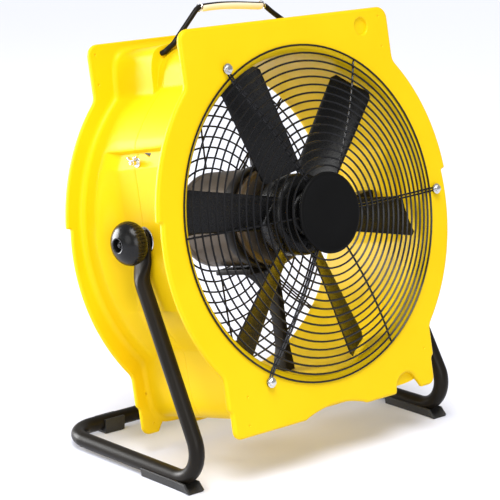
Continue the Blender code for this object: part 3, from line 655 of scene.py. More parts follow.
def make_shells():
    """The outlet and inlet halves of the housing, and a black sheet just behind the slot in the arm pocket that
    paints the shade inside it.
    """
    outline = cut_corners(cut_corners(plate_outline(), 0.0012), 0.0006)
    outline = fill_in(outline, math.radians(0.75))
    front = loft(shell_rings(outline, -1, OPENING_R), closed=True)
    piece = add_piece("outlet_shell", front, "shell_yellow", "front_shell")
    holes = [pin_hole(x, z, -FACE_Y) for x, z in OUTLET_PINS]
    slot = [[(x, y, z) for y, z in SLOT_CORNERS] for x in (-0.240, -0.2148)]
    cut_with(piece, [round_dimple(*DISH, 0.0145, 0.0040), loft(slot)] + holes)
    # A black sheet just inside the slot is painted shade: it stands in for the darkness of the hole, not for a
    # real part.
    slot_shade = [[(x, y, z) for y, z in SLOT_CORNERS] for x in (-0.2166, -0.2150)]
    add_piece("pocket_slot_painted_shade", loft(slot_shade), "case_black")

    outline = mirrored(outline)
    rear = loft(shell_rings(outline, 1, REAR_OPENING_R), closed=True)
    piece = add_piece("inlet_shell", rear, "shell_yellow", "rear_shell")
    cut_with(piece, [pin_hole(x, z, FACE_Y - FLANGE) for x, z in INLET_PINS])


# ---------------------------------------------------------------- guards

def front_dome(radius):
    """The y of the outlet guard's wires at a radius."""
    part = share(radius, BADGE_R, OPENING_R)
    return -FACE_Y - WIRE_STAND_OFF - DOME * (1 - part ** 2)


def rear_dome(radius):
    """The y of the inlet guard's wires at a radius."""
    part = share(radius, REAR_CENTRE_R, REAR_RIM_R)
    return FACE_Y + WIRE_STAND_OFF + REAR_DOME * (1 - part ** 2)


def spoke_line(level, angle, start, stop, sideways, behind, steps=14):
    """Points along a spoke that follows the dome, moved sideways and behind the rings."""
    across = Vector((-math.sin(angle), 0.0, math.cos(angle))) * sideways
    points = []
    for i in range(steps + 1):
        radius = start + (stop - start) * i / steps
        here = Vector((radius * math.cos(angle), level(radius) + behind, radius * math.sin(angle)))
        points.append(here + across)
    return points


def eyelet(shape, angle, radius, side, hole):
    """A flattened loop of wire round a bolt."""
    centre = Vector((radius * math.cos(angle), side * (FACE_Y + WIRE_STAND_OFF), radius * math.sin(angle)))
    loop = [centre + Vector(point) for point in circle_points(hole, 0.0, 20)]
    add_tube(shape, loop, WIRE_R, 6, closed=True)


def make_guard(name, node, side, level, ring_radii, ring_points, spokes, bolt_spokes, hub_r, bolt_r):
    """A domed wire guard: rings, single spokes to the last ring, and doubled ones to the bolts' eyelets."""
    shape = bmesh.new()
    for radius in ring_radii:
        add_tube(shape, circle_points(radius, level(radius), ring_points), WIRE_R, 6, closed=True)
    for k in range(spokes):
        angle = math.tau * k / spokes
        doubled = k in bolt_spokes
        stop = bolt_r - 0.005 if doubled else ring_radii[-1]
        for offset in (-SPOKE_APART, SPOKE_APART) if doubled else (0.0,):
            add_tube(shape, spoke_line(level, angle, hub_r, stop, offset, -side * SPOKE_BEHIND), WIRE_R, 6)
        if doubled:
            eyelet(shape, angle, bolt_r, side, EYELET_R)
    add_piece(name, shape, "guard_wire", node)


def make_guards():
    """The outlet guard, bolted at three spokes of six, and the inlet guard, bolted at four of eight."""
    radii = [FIRST_RING_R + (OPENING_R - FIRST_RING_R) * k / (FRONT_RINGS - 1) for k in range(FRONT_RINGS)]
    make_guard("front_guard_wires", "front_guard", -1, front_dome, radii, 96, 6, (0, 2, 4), BADGE_R - 0.012,
               GUARD_BOLT_R)
    radii = [REAR_CENTRE_R + (REAR_RIM_R - REAR_CENTRE_R) * k / (REAR_RINGS - 1) for k in range(REAR_RINGS)]
    make_guard("rear_guard_wires", "rear_guard", 1, rear_dome, radii, 88, 8, (1, 3, 5, 7), REAR_CENTRE_R,
               REAR_BOLT_R)


def make_badge():
    """The round plate on the guard's middle, with a rolled rim and a shallow raised field."""
    back = front_dome(BADGE_R) - 0.0015
    rim = [(0.0010, 0.0), (0.0, 0.0012), (0.0003, 0.0030), (0.0016, 0.0044), (0.0040, 0.0052),
           (0.0060, 0.0050), (0.0075, 0.0047)]
    profile = [(0.0005, back)] + [(BADGE_R - inward, back - ahead) for inward, ahead in rim]
    profile += [(0.030, back - 0.0054), (0.0005, back - 0.0060)]
    add_piece("badge_disc", turned(profile, 96), "badge_black", "guard_badge", smooth=math.radians(60))


# ---------------------------------------------------------------- impeller and motor

def make_blade(name, number):
    """A cambered blade with rounded tip corners and a thickened root."""
    stations, chord = 22, 18
    rings = []
    for i in range(stations):
        part = i / (stations - 1)
        reach = BLADE_ROOT + (BLADE_TIP - BLADE_ROOT) * part
        half = BLADE_ROOT_HALF + (BLADE_TIP_HALF - BLADE_ROOT_HALF) * part
        from_tip = BLADE_TIP - reach
        if from_tip < BLADE_CORNER:
            half -= BLADE_CORNER - math.sqrt(BLADE_CORNER ** 2 - (BLADE_CORNER - from_tip) ** 2)
        twist = BLADE_PITCH + math.radians(14) * (1 - part)
        across = Vector((0.0, math.sin(twist), math.cos(twist)))
        normal = Vector((0.0, math.cos(twist), -math.sin(twist)))
        thick = BLADE_THICK / 2 * (1.0 + 0.5 * (1 - ease(part, 0.0, 0.16)))
        if i == stations - 1:
            thick *= 0.35
        upper, lower = [], []
        for k in range(chord + 1):
            along = -math.cos(math.pi * k / chord)
            bow = 0.09 * (1 - along ** 2)
            fat = math.sqrt(max(0.0, 1 - along ** 8)) * 0.92 + 0.06
            middle = across * (half * along) + normal * (half * bow)
            upper.append(middle + normal * (thick * fat))
            lower.append(middle - normal * (thick * fat))
        rings.append([Vector((reach, BLADE_Y, 0.0)) + point for point in upper + lower[::-1]])
    angle = BLADE_FIRST + math.tau * (number - 1) / 6
    shape = loft(rings)
    add_piece(name, shape, "blade_black", f"blade_{number}", body="impeller",
              place=HOUSING @ Matrix.Rotation(-angle, 4, "Y"), smooth=math.radians(40))


def make_impeller():
    """The six blades, the hub with its bolt heads, the plate that clamps them and the motor's shaft."""
    for number in range(1, 7):
        make_blade(f"fan_blade_{number}", number)
    front, back = BLADE_Y - 0.024, BLADE_Y + 0.026
    bore = SHAFT_R + GAP
    hub = raised([(bore, 0.006), (0.034, 0.006), (0.036, 0.004), (HUB_R - 0.016, 0.004),
                  (HUB_R - 0.008, 0.0055), (HUB_R - 0.003, 0.009), (HUB_R - 0.0008, 0.014)], front)
    hub += raised([(HUB_R - 0.0006, -0.001), (HUB_R - 0.0022, 0.0), (HUB_R - 0.0006, 0.001)], BLADE_Y)
    hub += raised([(HUB_R - 0.0006, -0.005), (HUB_R - 0.0020, -0.002), (HUB_R - 0.005, 0.0), (bore, 0.0)],
                  back)
    shape = turned(hub, 80, closed=True)
    boss = raised([(CORE, 0.002), (0.0040, 0.002), (0.0048, 0.0028), (0.0048, 0.010), (CORE, 0.010)], front)
    for k in range(6):
        turned(boss, 6, shape=shape, place=round_axis(HUB_BOLT_R, BLADE_FIRST + math.tau * (k + 0.5) / 6))
    add_piece("fan_hub", shape, "hub_black", "impeller_hub", body="impeller")
    clamp = raised([(CORE, -0.0030), (0.012, -0.0032), (0.0285, -0.0030), (0.0320, -0.0015), (0.0335, 0.0005),
                    (0.0335, 0.0035), (CORE, 0.0035)], front)
    add_piece("fan_hub_plate", turned(clamp, 56), "hub_black", "hub_clamp_plate", body="impeller")
    shaft = [(CORE, front + 0.0045), (SHAFT_R - 0.0006, front + 0.0045), (SHAFT_R - 0.0002, front + 0.0052),
             (SHAFT_R - 0.0002, MOTOR_REAR - 0.0125), (CORE, MOTOR_REAR - 0.0125)]
    add_piece("fan_shaft", turned(shaft, 32), "ground_steel", "motor_shaft", body="impeller")


def make_motor():
    """The drum of the motor with its rolled seams, end bell and screws."""
    bore = 0.0206
    split = MOTOR_REAR - 0.020
    seat = MOTOR_FRONT + 0.016
    inner = MOTOR_R - 0.020
    r = MOTOR_R - 0.0006
    body = raised([(bore, 0.0), (0.030, 0.0), (0.032, 0.002), (0.050, 0.002), (0.052, 0.0), (r - 0.009, 0.0),
                   (r - 0.004, 0.0015), (r - 0.001, 0.005), (r, 0.009), (r, 0.0125), (r - 0.0012, 0.0135),
                   (r, 0.0145)], MOTOR_FRONT)
    body += raised([(r, -0.008), (r - 0.0012, -0.007), (r, -0.006), (r, -0.0004), (inner, -0.0004)], split)
    body += [(inner, seat + 0.006), (bore, seat)]
    add_piece("motor_drum", turned(body, 88, closed=True), "motor_paint", "motor_body")
    low = split + GAP
    cover = raised([(bore, -0.006), (inner - 0.001, -0.006), (inner - 0.001, 0.0), (r, 0.0), (r, 0.006),
                    (r - 0.0025, 0.010)], low)
    cover += raised([(r - 0.007, -0.0030), (r - 0.012, -0.0012), (0.040, -0.0012), (0.036, -0.0030),
                     (0.030, -0.0030), (0.028, -0.0005), (bore, -0.0005)], MOTOR_REAR)
    shape = turned(cover, 88, closed=True)
    head = raised([(CORE, -0.004), (0.0045, -0.004), (0.0045, -0.0004), (0.0036, -0.0001), (CORE, -0.0001)],
                  MOTOR_REAR)
    for k in range(4):
        turned(head, 6, shape=shape, place=round_axis(MOTOR_SCREW_R, math.radians(45 + 90 * k)))
    add_piece("motor_end_bell", shape, "motor_paint", "motor_rear_cover")
    for name, node, start in (("motor_race_front", "bearing_front", MOTOR_FRONT + 0.002),
                              ("motor_race_rear", "bearing_rear", MOTOR_REAR - 0.024)):
        race = raised([(SHAFT_R + 0.0004, 0.0004), (0.0120, 0.0), (0.0130, 0.0012), (0.0165, 0.0012),
                       (0.0175, 0.0), (0.0196, 0.0004), (0.0196, 0.0096), (SHAFT_R + 0.0004, 0.0096)], start)
        add_piece(name, turned(race, 40, closed=True), "ground_steel", node)


def rounded_box(shape, low, high, edge, segments=3):
    """A box between two corners, its edges rounded, added to shape."""
    made = bmesh.ops.create_cube(shape, size=1.0)["verts"]
    for vert in made:
        for axis in range(3):
            vert.co[axis] = (low[axis] + high[axis]) / 2 + vert.co[axis] * (high[axis] - low[axis])
    edges = list({edge_of for vert in made for edge_of in vert.link_edges})
    bmesh.ops.bevel(shape, geom=edges, offset=edge, segments=segments, affect="EDGES", profile=0.5)
    return shape


def make_motor_mount():
    """The motor's foot plate with its bolts and gusset, and the band that clamps the motor."""
    top = -MOTOR_R - 0.0012
    shape = rounded_box(bmesh.new(), (-0.030, MOUNT_Y[1] + 0.0027, top - 0.0085), (0.030, 0.092, top), 0.0015)
    head = [(CORE, 0.0), (0.0045, 0.0), (0.0045, -0.0012), (0.0035, -0.0016), (CORE, -0.0016)]
    for x in (-0.022, 0.022):
        for y in (0.026, 0.050, 0.074):
            place = Matrix.Translation((x, y, top - 0.0084)) @ Matrix.Rotation(-math.pi / 2, 4, "X")
            turned(head, 6, shape=shape, place=place)
    gusset = [(0.086, top - 0.008), (0.013, top - 0.008), (0.0125, top - 0.074)]
    for sine, cosine in quarter_turn(12, 1)[:-1]:
        gusset.append((0.0125 + 0.0735 * (1 - cosine), top - 0.008 - 0.066 * (1 - sine)))
    loft([[(x, y, z) for y, z in gusset] for x in (-0.0035, 0.0035)], shape)
    add_piece("motor_foot", shape, "motor_paint", "motor_base_plate", paint=SATIN_BLACK)
    low, high = MOUNT_Y
    ring = [(MOTOR_R + GAP, low), (MOTOR_R + 0.0033, low), (MOTOR_R + 0.0039, low + 0.001),
            (MOTOR_R + 0.0039, high - 0.001), (MOTOR_R + 0.0033, high), (MOTOR_R + GAP, high)]
    add_piece("motor_band", turned(ring, 88, closed=True), "mount_steel", "motor_clamp_ring")


def make_struts():
    """Four flat bars from the clamp band to the duct wall, rolled at the edges and flared at the wall."""
    low, high = MOUNT_Y
    inner = MOTOR_R + 0.0043
    for k in range(4):
        outer = (DUCT_R if k % 2 else DUCT_FLAT_X) - 0.0015
        rings = []
        for i in range(25):
            part = i / 24
            reach = inner + (outer - inner) * part
            spread = ease(part, 0.72, 1.0)
            back, half = high + 0.0068 * spread, 0.0050 + 0.0038 * spread
            section = rounded_rectangle((back - low) / 2, half, 0.0012, 3)
            rings.append([(reach, (low + back) / 2 + y, z) for y, z in section])
        shape = loft(rings)
        add_piece(f"motor_bar_{k + 1}", shape, "mount_steel", f"motor_strut_{k + 1}",
                  place=HOUSING @ Matrix.Rotation(-math.tau * k / 4, 4, "Y"))


# ---------------------------------------------------------------- bolts, handle and side fittings

def make_bolt(name, node, radius, angle, side):
    """A washer and a domed hex head on a guard's eyelet, and the stem below them."""
    face = side * (FACE_Y + GAP)
    place = round_axis(radius, angle)
    washer = [(CORE, 0.0034), (0.0070, 0.0034), (0.0077, 0.0038), (0.0077, 0.0046), (0.0070, 0.0050),
              (CORE, 0.0050)]
    head = [(CORE, 0.0046), (BOLT_HEAD_R, 0.0046), (BOLT_HEAD_R, 0.0080), (BOLT_HEAD_R * 0.92, 0.0086),
            (BOLT_HEAD_R * 0.55, 0.0094), (CORE, 0.0096)]
    stem = [(CORE, 0.0), (0.0028, 0.0), (0.0028, 0.0040), (CORE, 0.0040)]
    shape = bmesh.new()
    for profile, sides, turn in ((washer, 32, 0.0), (head, 6, 0.4), (stem, 16, 0.0)):
        turned([(r, face + side * height) for r, height in profile], sides, shape=shape,
               place=place @ Matrix.Rotation(turn, 4, "Y"))
    add_piece(name, shape, "bright_zinc", node)


def make_bolts():
    """The bolts of both guards."""
    for number, turn in enumerate((0, 120, 240), start=1):
        make_bolt(f"outlet_bolt_{number}", f"front_guard_bolt_{number}", GUARD_BOLT_R, math.radians(turn), -1)
    for number, turn in enumerate((45, 135, 225, 315), start=1):
        make_bolt(f"inlet_bolt_{number}", f"rear_guard_bolt_{number}", REAR_BOLT_R, math.radians(turn), 1)


def rounded_path(corners, radii, step=math.radians(4)):
    """Points along straight runs whose corners are arcs of the given radii."""
    points = [Vector(corners[0])]
    for before, corner, after, radius in zip(corners, corners[1:], corners[2:], radii):
        here = Vector(corner)
        back = (Vector(before) - here).normalized()
        ahead = (Vector(after) - here).normalized()
        half = back.angle(ahead) / 2
        inward = (back + ahead).normalized()
        centre = here + inward * (radius / math.sin(half))
        start = here + back * (radius / math.tan(half)) - centre
        stop = here + ahead * (radius / math.tan(half)) - centre
        sweep = start.angle(stop)
        count = max(2, math.ceil(sweep / step))
        for i in range(count + 1):
            part = i / count
            arm = (start * math.sin((1 - part) * sweep) + stop * math.sin(part * sweep)) / math.sin(sweep)
            points.append(centre + arm)
    points.append(Vector(corners[-1]))
    return points


def handle_bow(x):
    """How far the bar is bent up from a straight one. Its far end has sagged."""
    arch = 0.0030 * math.cos(math.pi / 2 * min(1.0, abs(x) / 0.064))
    return arch - 0.0065 * ease(x, -0.070, 0.066) * (1 - ease(x, 0.070, 0.119))


def make_handle():
    """The bent rod, the half sleeve under its bar and a small ring at each end of the sleeve."""
    foot_x, foot_z = HANDLE_FOOT
    knee_x, knee_z = HANDLE_KNEE
    bar_x, bar_z = HANDLE_BAR
    left = [(-foot_x, HANDLE_WALL_Y + 0.018, foot_z), (-foot_x, HANDLE_Y, foot_z),
            (-knee_x, HANDLE_Y, knee_z), (-bar_x, HANDLE_Y, bar_z)]
    right = [(-x, y, z) for x, y, z in reversed(left)]
    corners = rounded_path(left + right, (0.006, 0.012, 0.018, 0.018, 0.012, 0.006), math.radians(8))
    points = []
    for start, stop in zip(corners, corners[1:]):
        count = math.ceil((stop - start).length / 0.006)
        points += [start.lerp(stop, i / count) for i in range(count)]
    points.append(corners[-1])
    points = [point + Vector((0, 0, handle_bow(point.x))) for point in points]
    shape = add_tube(bmesh.new(), points, HANDLE_ROD_R - 0.0001, 18, first_side=(1, 0, 0))
    add_piece("handle_bow", shape, "handle_steel", "handle_rod")
    rings = []
    for i in range(49):
        x = -SLEEVE_HALF + 2 * SLEEVE_HALF * i / 48
        level = bar_z + handle_bow(x)
        outer = HANDLE_ROD_R + 0.0036 - 0.0014 * max(0.0, (abs(x) - SLEEVE_HALF + 0.003) / 0.003)
        inner = HANDLE_ROD_R + 0.0003
        section = arc((HANDLE_Y, level), outer, 172, 368, 24) + arc((HANDLE_Y, level), inner, 368, 172, 24)
        rings.append([(x, y, z) for y, z in section])
    shape = loft(rings)
    add_piece("handle_sleeve", shape, "grip_beige", "handle_grip")
    shape = bmesh.new()
    for x, size in ((-SLEEVE_HALF - 0.0035, 0.0066), (SLEEVE_HALF + 0.0030, 0.0056)):
        lean = 0.35 if x < 0 else -0.35
        level = bar_z + handle_bow(x)
        loop = [(x + size * b * lean, HANDLE_Y + size * a, level + size * b) for a, b in full_turn(28)]
        add_tube(shape, loop, 0.0007, 8, closed=True)
    add_piece("handle_end_rings", shape, "bright_zinc")


def make_wing_screw():
    """A stem and washer, a cone-shaped barrel and the two rounded wings that stand on it."""
    place = Matrix.Translation(WING_SCREW)
    barrel = [(CORE, 0.0026), (0.0024, 0.0026), (0.0024, 0.0), (0.0072, 0.0), (0.0075, -0.0005),
              (0.0072, -0.0012), (0.0040, -0.0014), (0.0044, -0.0030), (0.0038, -0.0085), (0.0030, -0.0090),
              (0.0026, -0.0120), (CORE, -0.0124)]
    shape = turned(barrel, 32, axis="X", place=place)
    for side in (-1, 1):
        outline = []
        for i in range(15):
            angle = math.radians(-60 + 240 * i / 14)
            outline.append((-0.0072 + 0.0034 * math.cos(angle), 0.0088 + 0.0040 * math.sin(angle)))
        outline = [(-0.0030, 0.0028)] + outline + [(-0.0085, 0.0028)]
        turn = Matrix.Rotation(side * 0.82, 4, "X")
        rings = []
        for full, aside in ((0.6, -0.0011), (1.0, -0.0006), (1.0, 0.0006), (0.6, 0.0011)):
            ring = []
            for px, pz in outline:
                qx = -0.0072 + (px + 0.0072) * (1 - 0.15 * (1 - full))
                qz = 0.0085 + (pz - 0.0085) * (1 - 0.12 * (1 - full))
                ring.append(place @ turn @ Vector((qx, aside, qz)))
            rings.append(ring)
        loft(rings, shape)
    add_piece("pocket_wing_screw", shape, "bright_zinc", "wing_screw", body="wing_screw")


def make_switch():
    """The control box on the far side: rounded box, lid screws, bezel, rocker and gland."""
    x, y, z = SWITCH_FACE
    shape = rounded_box(bmesh.new(), (x - 0.0258, y - 0.0338, z - 0.0278),
                        (x - 0.0012, y + 0.0338, z + 0.0278), 0.004, 4)
    rounded_box(shape, (x - 0.0040, y - 0.0318, z - 0.0258), (x - 0.0002, y + 0.0318, z + 0.0258), 0.0015, 2)
    screw = raised([(CORE, -0.0030), (0.0026, -0.0030), (0.0026, -0.0001), (0.0020, 0.0), (CORE, 0.0)], x)
    for across in (-0.0275, 0.0275):
        for up in (-0.0215, 0.0215):
            turned(screw, 16, axis="X", shape=shape, place=Matrix.Translation((0, y + across, z + up)))
    add_piece("control_box", shape, "case_black", "switch_box")

    rings = []
    for reach, wide in ((0.0, 0.0), (0.0, 0.0030), (0.0022, 0.0031), (0.0032, 0.0027), (0.0040, 0.0019),
                        (0.0042, 0.0010), (0.0040, 0.0003), (0.0036, 0.0)):
        section = rounded_rectangle(0.0072 + wide, 0.0112 + wide, 0.0006 + wide * 0.7, 5)
        rings.append([(x + GAP + reach, y + py, z + pz) for py, pz in section])
    add_piece("rocker_frame", loft(rings, closed=True), "case_black", "switch_bezel")
    rings = []
    for part in (-1.0, -0.94, -0.80, 0.80, 0.94, 1.0):
        wide, sink = 0.0066 * part, 0.0005 * abs(part) ** 12
        ring = [(-0.0020, -0.0088), (-0.0020, 0.0088)]
        for i in range(17):
            along = 1 - 2 * i / 16
            ring.append((0.0015 + 0.0011 * along ** 2 - sink - 0.0006 * abs(along) ** 16, 0.0102 * along))
        rings.append([(x + 0.0045 + px, y + wide, z + pz) for px, pz in ring])
    add_piece("rocker_button", loft(rings), "rocker_red", "switch_rocker",
              body="rocker")
    place = Matrix.Translation((x - 0.0135, y + 0.034 + GAP, z))
    collar = [(0.0046, 0.0), (0.0100, 0.0), (0.0106, 0.0008), (0.0106, 0.0052), (0.0100, 0.0060),
              (0.0046, 0.0060)]
    shape = turned(collar, 6, closed=True, place=place)
    dome = [(0.0043, 0.0050), (0.0094, 0.0050), (0.0097, 0.0075), (0.0097, 0.0125), (0.0092, 0.0148),
            (0.0080, 0.0166), (0.0066, 0.0176), (0.0052, 0.0180), (0.0044, 0.0176)]
    turned(dome, 40, closed=True, shape=shape, place=place)
    add_piece("cord_gland", shape, "case_black", "cable_gland")


# ---------------------------------------------------------------- stand

def flattening(z):
    """How flat the arm's tube is pressed at a height: 1 round the pivot, 0 where it is round again."""
    return 1 - ease(PIVOT_Z - z, TAB_REACH, TAB_REACH + TAB_RUN_OUT)


def arm_inner_x(z):
    """The x of the arm's inner side, which leans out from the pivot to the floor run."""
    top = ARM_TOP_X - TAB_THICK / 2
    part = share(PIVOT_Z - z, TAB_REACH, PIVOT_Z - 0.07)
    return top + (ARM_X - TUBE_R - top) * part


def make_stand():
    """One bent tube, round along its length and pressed flat round each pivot bolt."""
    left = [(-ARM_X, PIVOT_Y, PIVOT_Z + TAB_TOP), (-ARM_X, PIVOT_Y - SHOULDER[0], PIVOT_Z - SHOULDER[1]),
            (-ARM_X, FRONT_BEND_Y, FLOOR_RUN_Z), (-ARM_X, CROSSBAR_Y, FLOOR_RUN_Z)]
    right = [(-x, y, z) for x, y, z in reversed(left)]
    corners = rounded_path(left + right, (0.060, FRONT_BEND_R, REAR_BEND_R, REAR_BEND_R, FRONT_BEND_R, 0.060))
    points = []
    for start, stop in zip(corners, corners[1:]):
        points.append(start)
        height = max(start.z, stop.z)
        finest = 0.0012 if height > PIVOT_Z - 0.002 else 0.004 if height > 0.2 else 0.03
        count = math.ceil((stop - start).length / finest)
        points += [start.lerp(stop, i / count) for i in range(1, count)]
    points.append(corners[-1])
    side = Vector((1, 0, 0))
    rings = []
    middles = []
    for point in points:
        flat = flattening(point.z)
        thin = TAB_THICK / 2 * flat + (TUBE_R - 0.0002) * (1 - flat)
        wide = TAB_HALF * flat + (TUBE_R - 0.0002) * (1 - flat)
        above = max(0.0, point.z - PIVOT_Z - TAB_TOP + TAB_HALF)
        if above > 0:
            wide = max(0.0025, math.sqrt(max(0.0, TAB_HALF ** 2 - above ** 2)))
        here = point.copy()
        if abs(here.x) > ARM_X - 0.001:
            here.x = math.copysign(arm_inner_x(here.z) + thin, here.x)
        middles.append((here, thin, wide, flat))
    for i, (point, thin, wide, flat) in enumerate(middles):
        ahead = middles[min(i + 1, len(middles) - 1)][0] - middles[max(i - 1, 0)][0]
        ahead.normalize()
        side = (side - ahead * side.dot(ahead)).normalized()
        other = ahead.cross(side)
        power = 1.0 - 0.55 * flat
        ring = []
        for c, s in full_turn(32):
            ring.append(point + side * (thin * math.copysign(abs(c) ** power, c))
                        + other * (wide * math.copysign(abs(s) ** power, s)))
        rings.append(ring)
    shape = loft(rings)
    add_piece("stand_tube", shape, "stand_black", "stand_frame", body="stand", place=Matrix.Identity(4),
              smooth=math.radians(38))


def make_foot(name, node, place, length, half_top, half_bottom, height, flare, wrap):
    """A rubber saddle under a tube that runs along local Y.
    flare is how much wider it starts, and wrap how far its seat climbs the tube's sides, in degrees."""
    seat_r = TUBE_R + 0.0004
    edge = 0.0012
    rings = []
    stations = [(0.0, flare * 0.985), (edge, flare), (length * 0.22, 1.02), (length * 0.26, 1.0),
                (length - edge, 1.0), (length, 0.985)]
    if flare > 1:
        stations[:1] = [(-0.0100, flare * 1.02), (-0.0085, flare * 1.05), (0.0, flare * 1.02)]
    for y, wide in stations:
        low, high = half_bottom * wide, half_top * wide
        soft = 0.0 if edge < y < length - edge else 0.0006
        flank = [(low - edge, soft), (low - 0.0003, soft + 0.0003), (low, soft + edge), (high, height - edge),
                 (high - 0.0004, height - 0.0003), (high - edge, height)]
        section = flank + arc((0, FLOOR_RUN_Z), seat_r, wrap, -180 - wrap, 16) + mirrored(flank)
        ring = [(px, y, pz) for px, pz in section[-1:] + section[:-1]]
        if y < 0:
            top = 0.0022 if y < -0.009 else 0.0034
            ring = [(px, py, min(pz, soft + (pz - soft) * top / height)) for px, py, pz in ring]
        rings.append(ring)
    shape = loft(rings)
    add_piece(name, shape, "foot_rubber", node, body="stand", place=place)


def make_feet():
    """A flared pad under the front of each floor run, and two clips under the crossbar."""
    for side, name in ((-1, "left"), (1, "right")):
        place = Matrix.Translation((side * ARM_X, FRONT_FOOT_Y, 0.0))
        make_foot(f"front_pad_{name}", f"front_foot_{name}", place, 0.096, 0.0128, 0.0112,
                  FLOOR_RUN_Z - 0.0020, 1.12, -8)
        end_x = REAR_FOOT_X - 0.021 + (0.0 if side < 0 else 0.036)
        place = Matrix.Translation((side * end_x, CROSSBAR_Y, 0.0)) @ Matrix.Rotation(math.pi / 2, 4, "Z")
        make_foot(f"rear_pad_{name}", f"rear_foot_{name}", place, 0.036, 0.0145, 0.0138, FLOOR_RUN_Z + 0.0072,
                  1.0, 36)


# ---------------------------------------------------------------- tilt pivots

def make_knob(side, name):
    """A ball knob with axial grooves round its skirt and a recess for the nut."""
    skirt = ARM_TOP_X + TAB_THICK / 2 + 0.0021
    profile = [(STUD_R + GAP, skirt), (KNOB_SKIRT_R - 0.001, skirt), (KNOB_SKIRT_R, skirt + 0.0008)]
    for i in range(1, 26):
        part = i / 25
        turn = math.radians(-62 + 136 * part)
        profile.append((KNOB_R * max(0.30, math.cos(turn) ** 0.92) * 0.998, 0.2555 + 0.0218 * math.sin(turn)))
    profile += [(0.0112, KNOB_FACE_X - 0.0003), (0.0104, KNOB_FACE_X - 0.0008),
                (0.0099, KNOB_FACE_X - 0.0020), (0.0092, 0.2670), (STUD_R + GAP, 0.2670)]
    count = 180
    rings = []
    for radius, x in profile:
        bite = ease(x, skirt + 0.0010, skirt + 0.0035) * (1 - ease(x, 0.2590, 0.2625))
        ring = []
        for i in range(count):
            angle = math.tau * i / count
            wave = max(0.0, math.cos(KNOB_GROOVES * angle)) ** 2
            r = radius - 0.0014 * bite * wave
            ring.append((side * x, r * math.cos(angle), r * math.sin(angle)))
        rings.append(ring)
    shape = loft(rings, closed=True)
    add_piece(f"tilt_knob_{name}", shape, "knob_black", f"knob_{name}", body=f"knob_{name}",
              smooth=math.radians(50))


def make_pivots():
    """The knobs, and the bolt, washer and nut of each."""
    wall = POCKET_FLAT_X + GAP
    out = ARM_TOP_X + TAB_THICK / 2
    stud = raised([(CORE, 0.0), (0.0192, 0.0), (0.0199, 0.0006), (0.0199, 0.0016), (0.0192, 0.0022),
                   (0.0075, 0.0022), (0.0060, 0.0026), (0.0049, 0.0034)], wall)
    stud += [(0.0049 - 0.0004 * (i % 2), out - 0.0015 + 0.0008 * i) for i in range(33)]
    stud += [(0.0044, 0.2664), (0.0038, 0.2668), (CORE, 0.2668)]
    washer = raised([(0.0055, 0.0003), (0.0166, 0.0003), (0.0170, 0.0007), (0.0170, 0.0014), (0.0166, 0.0018),
                     (0.0055, 0.0018)], out)
    nut = [(CORE, 0.2674), (0.0062, 0.2674), (0.0066, 0.2678), (0.0066, 0.2708), (0.0060, 0.2718),
           (0.0044, 0.2720), (0.0042, 0.2730), (0.0034, 0.2738), (CORE, 0.2739)]
    axis = Matrix.Translation(CENTRE)
    for side, name in ((-1, "left"), (1, "right")):
        make_knob(side, name)
        shape = turned([(r, side * x) for r, x in stud], 40, axis="X")
        add_piece(f"tilt_stud_{name}", shape, "bright_zinc", f"pivot_stud_{name}")
        shape = turned([(r, side * x) for r, x in washer], 48, axis="X", closed=True)
        add_piece(f"tilt_washer_{name}", shape, "bright_zinc", f"pivot_washer_{name}", body="stand",
                  place=axis)
        shape = turned([(r, side * x) for r, x in nut], 6, axis="X")
        add_piece(f"tilt_nut_{name}", shape, "knob_black", f"knob_nut_{name}", body=f"knob_{name}")


# ---------------------------------------------------------------- camera, floor and light

def aim(thing, place, target):
    """Put a camera or lamp in its place, pointing at target."""
    thing.location = place
    thing.rotation_mode = "QUATERNION"
    thing.rotation_quaternion = (Vector(target) - Vector(place)).to_track_quat("-Z", "Y")


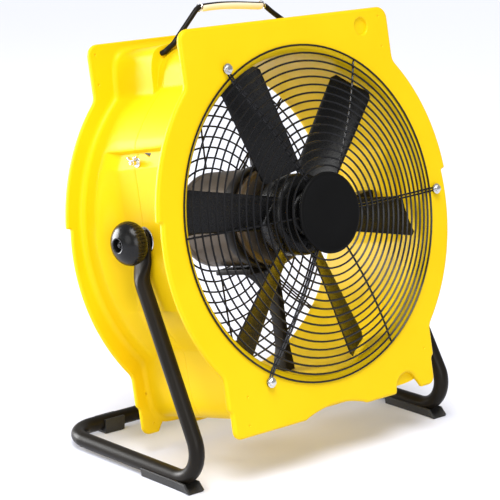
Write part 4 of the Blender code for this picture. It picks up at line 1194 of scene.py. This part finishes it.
def make_camera():
    """A long lens a little above the fan, at its front left."""
    data = bpy.data.cameras.new("camera")
    camera = new_object("camera", data)
    azimuth, elevation, distance = math.radians(42.4), math.radians(13.6), 3.0162
    target = CENTRE + Vector((-0.0314, -0.0034, -0.045))
    ahead = Vector((math.sin(azimuth) * math.cos(elevation), math.cos(azimuth) * math.cos(elevation),
                    -math.sin(elevation)))
    aim(camera, target - ahead * distance, target)
    data.sensor_width = 36.0
    data.lens = 148.3
    data.clip_start = 0.05
    data.clip_end = 60.0
    bpy.context.scene.camera = camera


def area_light(name, place, target, size, power):
    """A round soft lamp."""
    data = bpy.data.lights.new(name, "AREA")
    data.shape = "DISK"
    data.size = size
    data.energy = power
    aim(new_object(name, data), place, target)


def make_stage():
    """A white backdrop, the floor, an overhead sun and three soft lamps."""
    world = bpy.data.worlds.new("studio")
    bpy.context.scene.world = world
    world.use_nodes = True
    tree = world.node_tree
    backdrop = tree.nodes["Background"]
    set_in(backdrop, Color=(1.0, 1.0, 1.0, 1.0))
    direct = tree.nodes.new("ShaderNodeLightPath").outputs["Is Camera Ray"]
    tree.links.new(range_of(tree, direct, 0.40, 1.02), backdrop.inputs["Strength"])
    bpy.context.scene.view_settings.view_transform = "Standard"
    mesh = bpy.data.meshes.new("floor")
    half = 12.0
    corners = [(-half, -half, 0), (half, -half, 0), (half, half, 0), (-half, half, 0)]
    mesh.from_pydata(corners, [], [(0, 1, 2, 3)])
    floor = new_object("floor", mesh)
    paint = bpy.data.materials.new("floor_paint")
    paint.use_nodes = True
    set_in(paint.node_tree.nodes["Principled BSDF"], Base_Color=(0.70, 0.715, 0.80, 1.0), Roughness=0.6,
           Specular_IOR_Level=0.1, Emission_Color=(1.0, 1.0, 1.0, 1.0), Emission_Strength=0.08)
    mesh.materials.append(paint)
    sun = bpy.data.lights.new("sun", "SUN")
    sun.energy = 2.9
    sun.angle = math.radians(35)
    aim(new_object("sun", sun), (-0.45, -0.50, 1.70), (0, 0, 0))
    area_light("behind", (-1.3, 2.7, 0.75), (0.1, 0, 0.34), 1.8, 150)
    area_light("left", (-2.8, -0.2, 1.2), (0, 0, 0.3), 1.6, 12)
    area_light("front", (-1.7, -2.9, 1.3), (0.10, 0, 0.36), 2.0, 42)


repaint()
make_shells()
make_guards()
make_badge()
make_impeller()
make_motor()
make_motor_mount()
make_struts()
make_bolts()
make_handle()
make_wing_screw()
make_switch()
make_stand()
make_feet()
make_pivots()
make_camera()
make_stage()
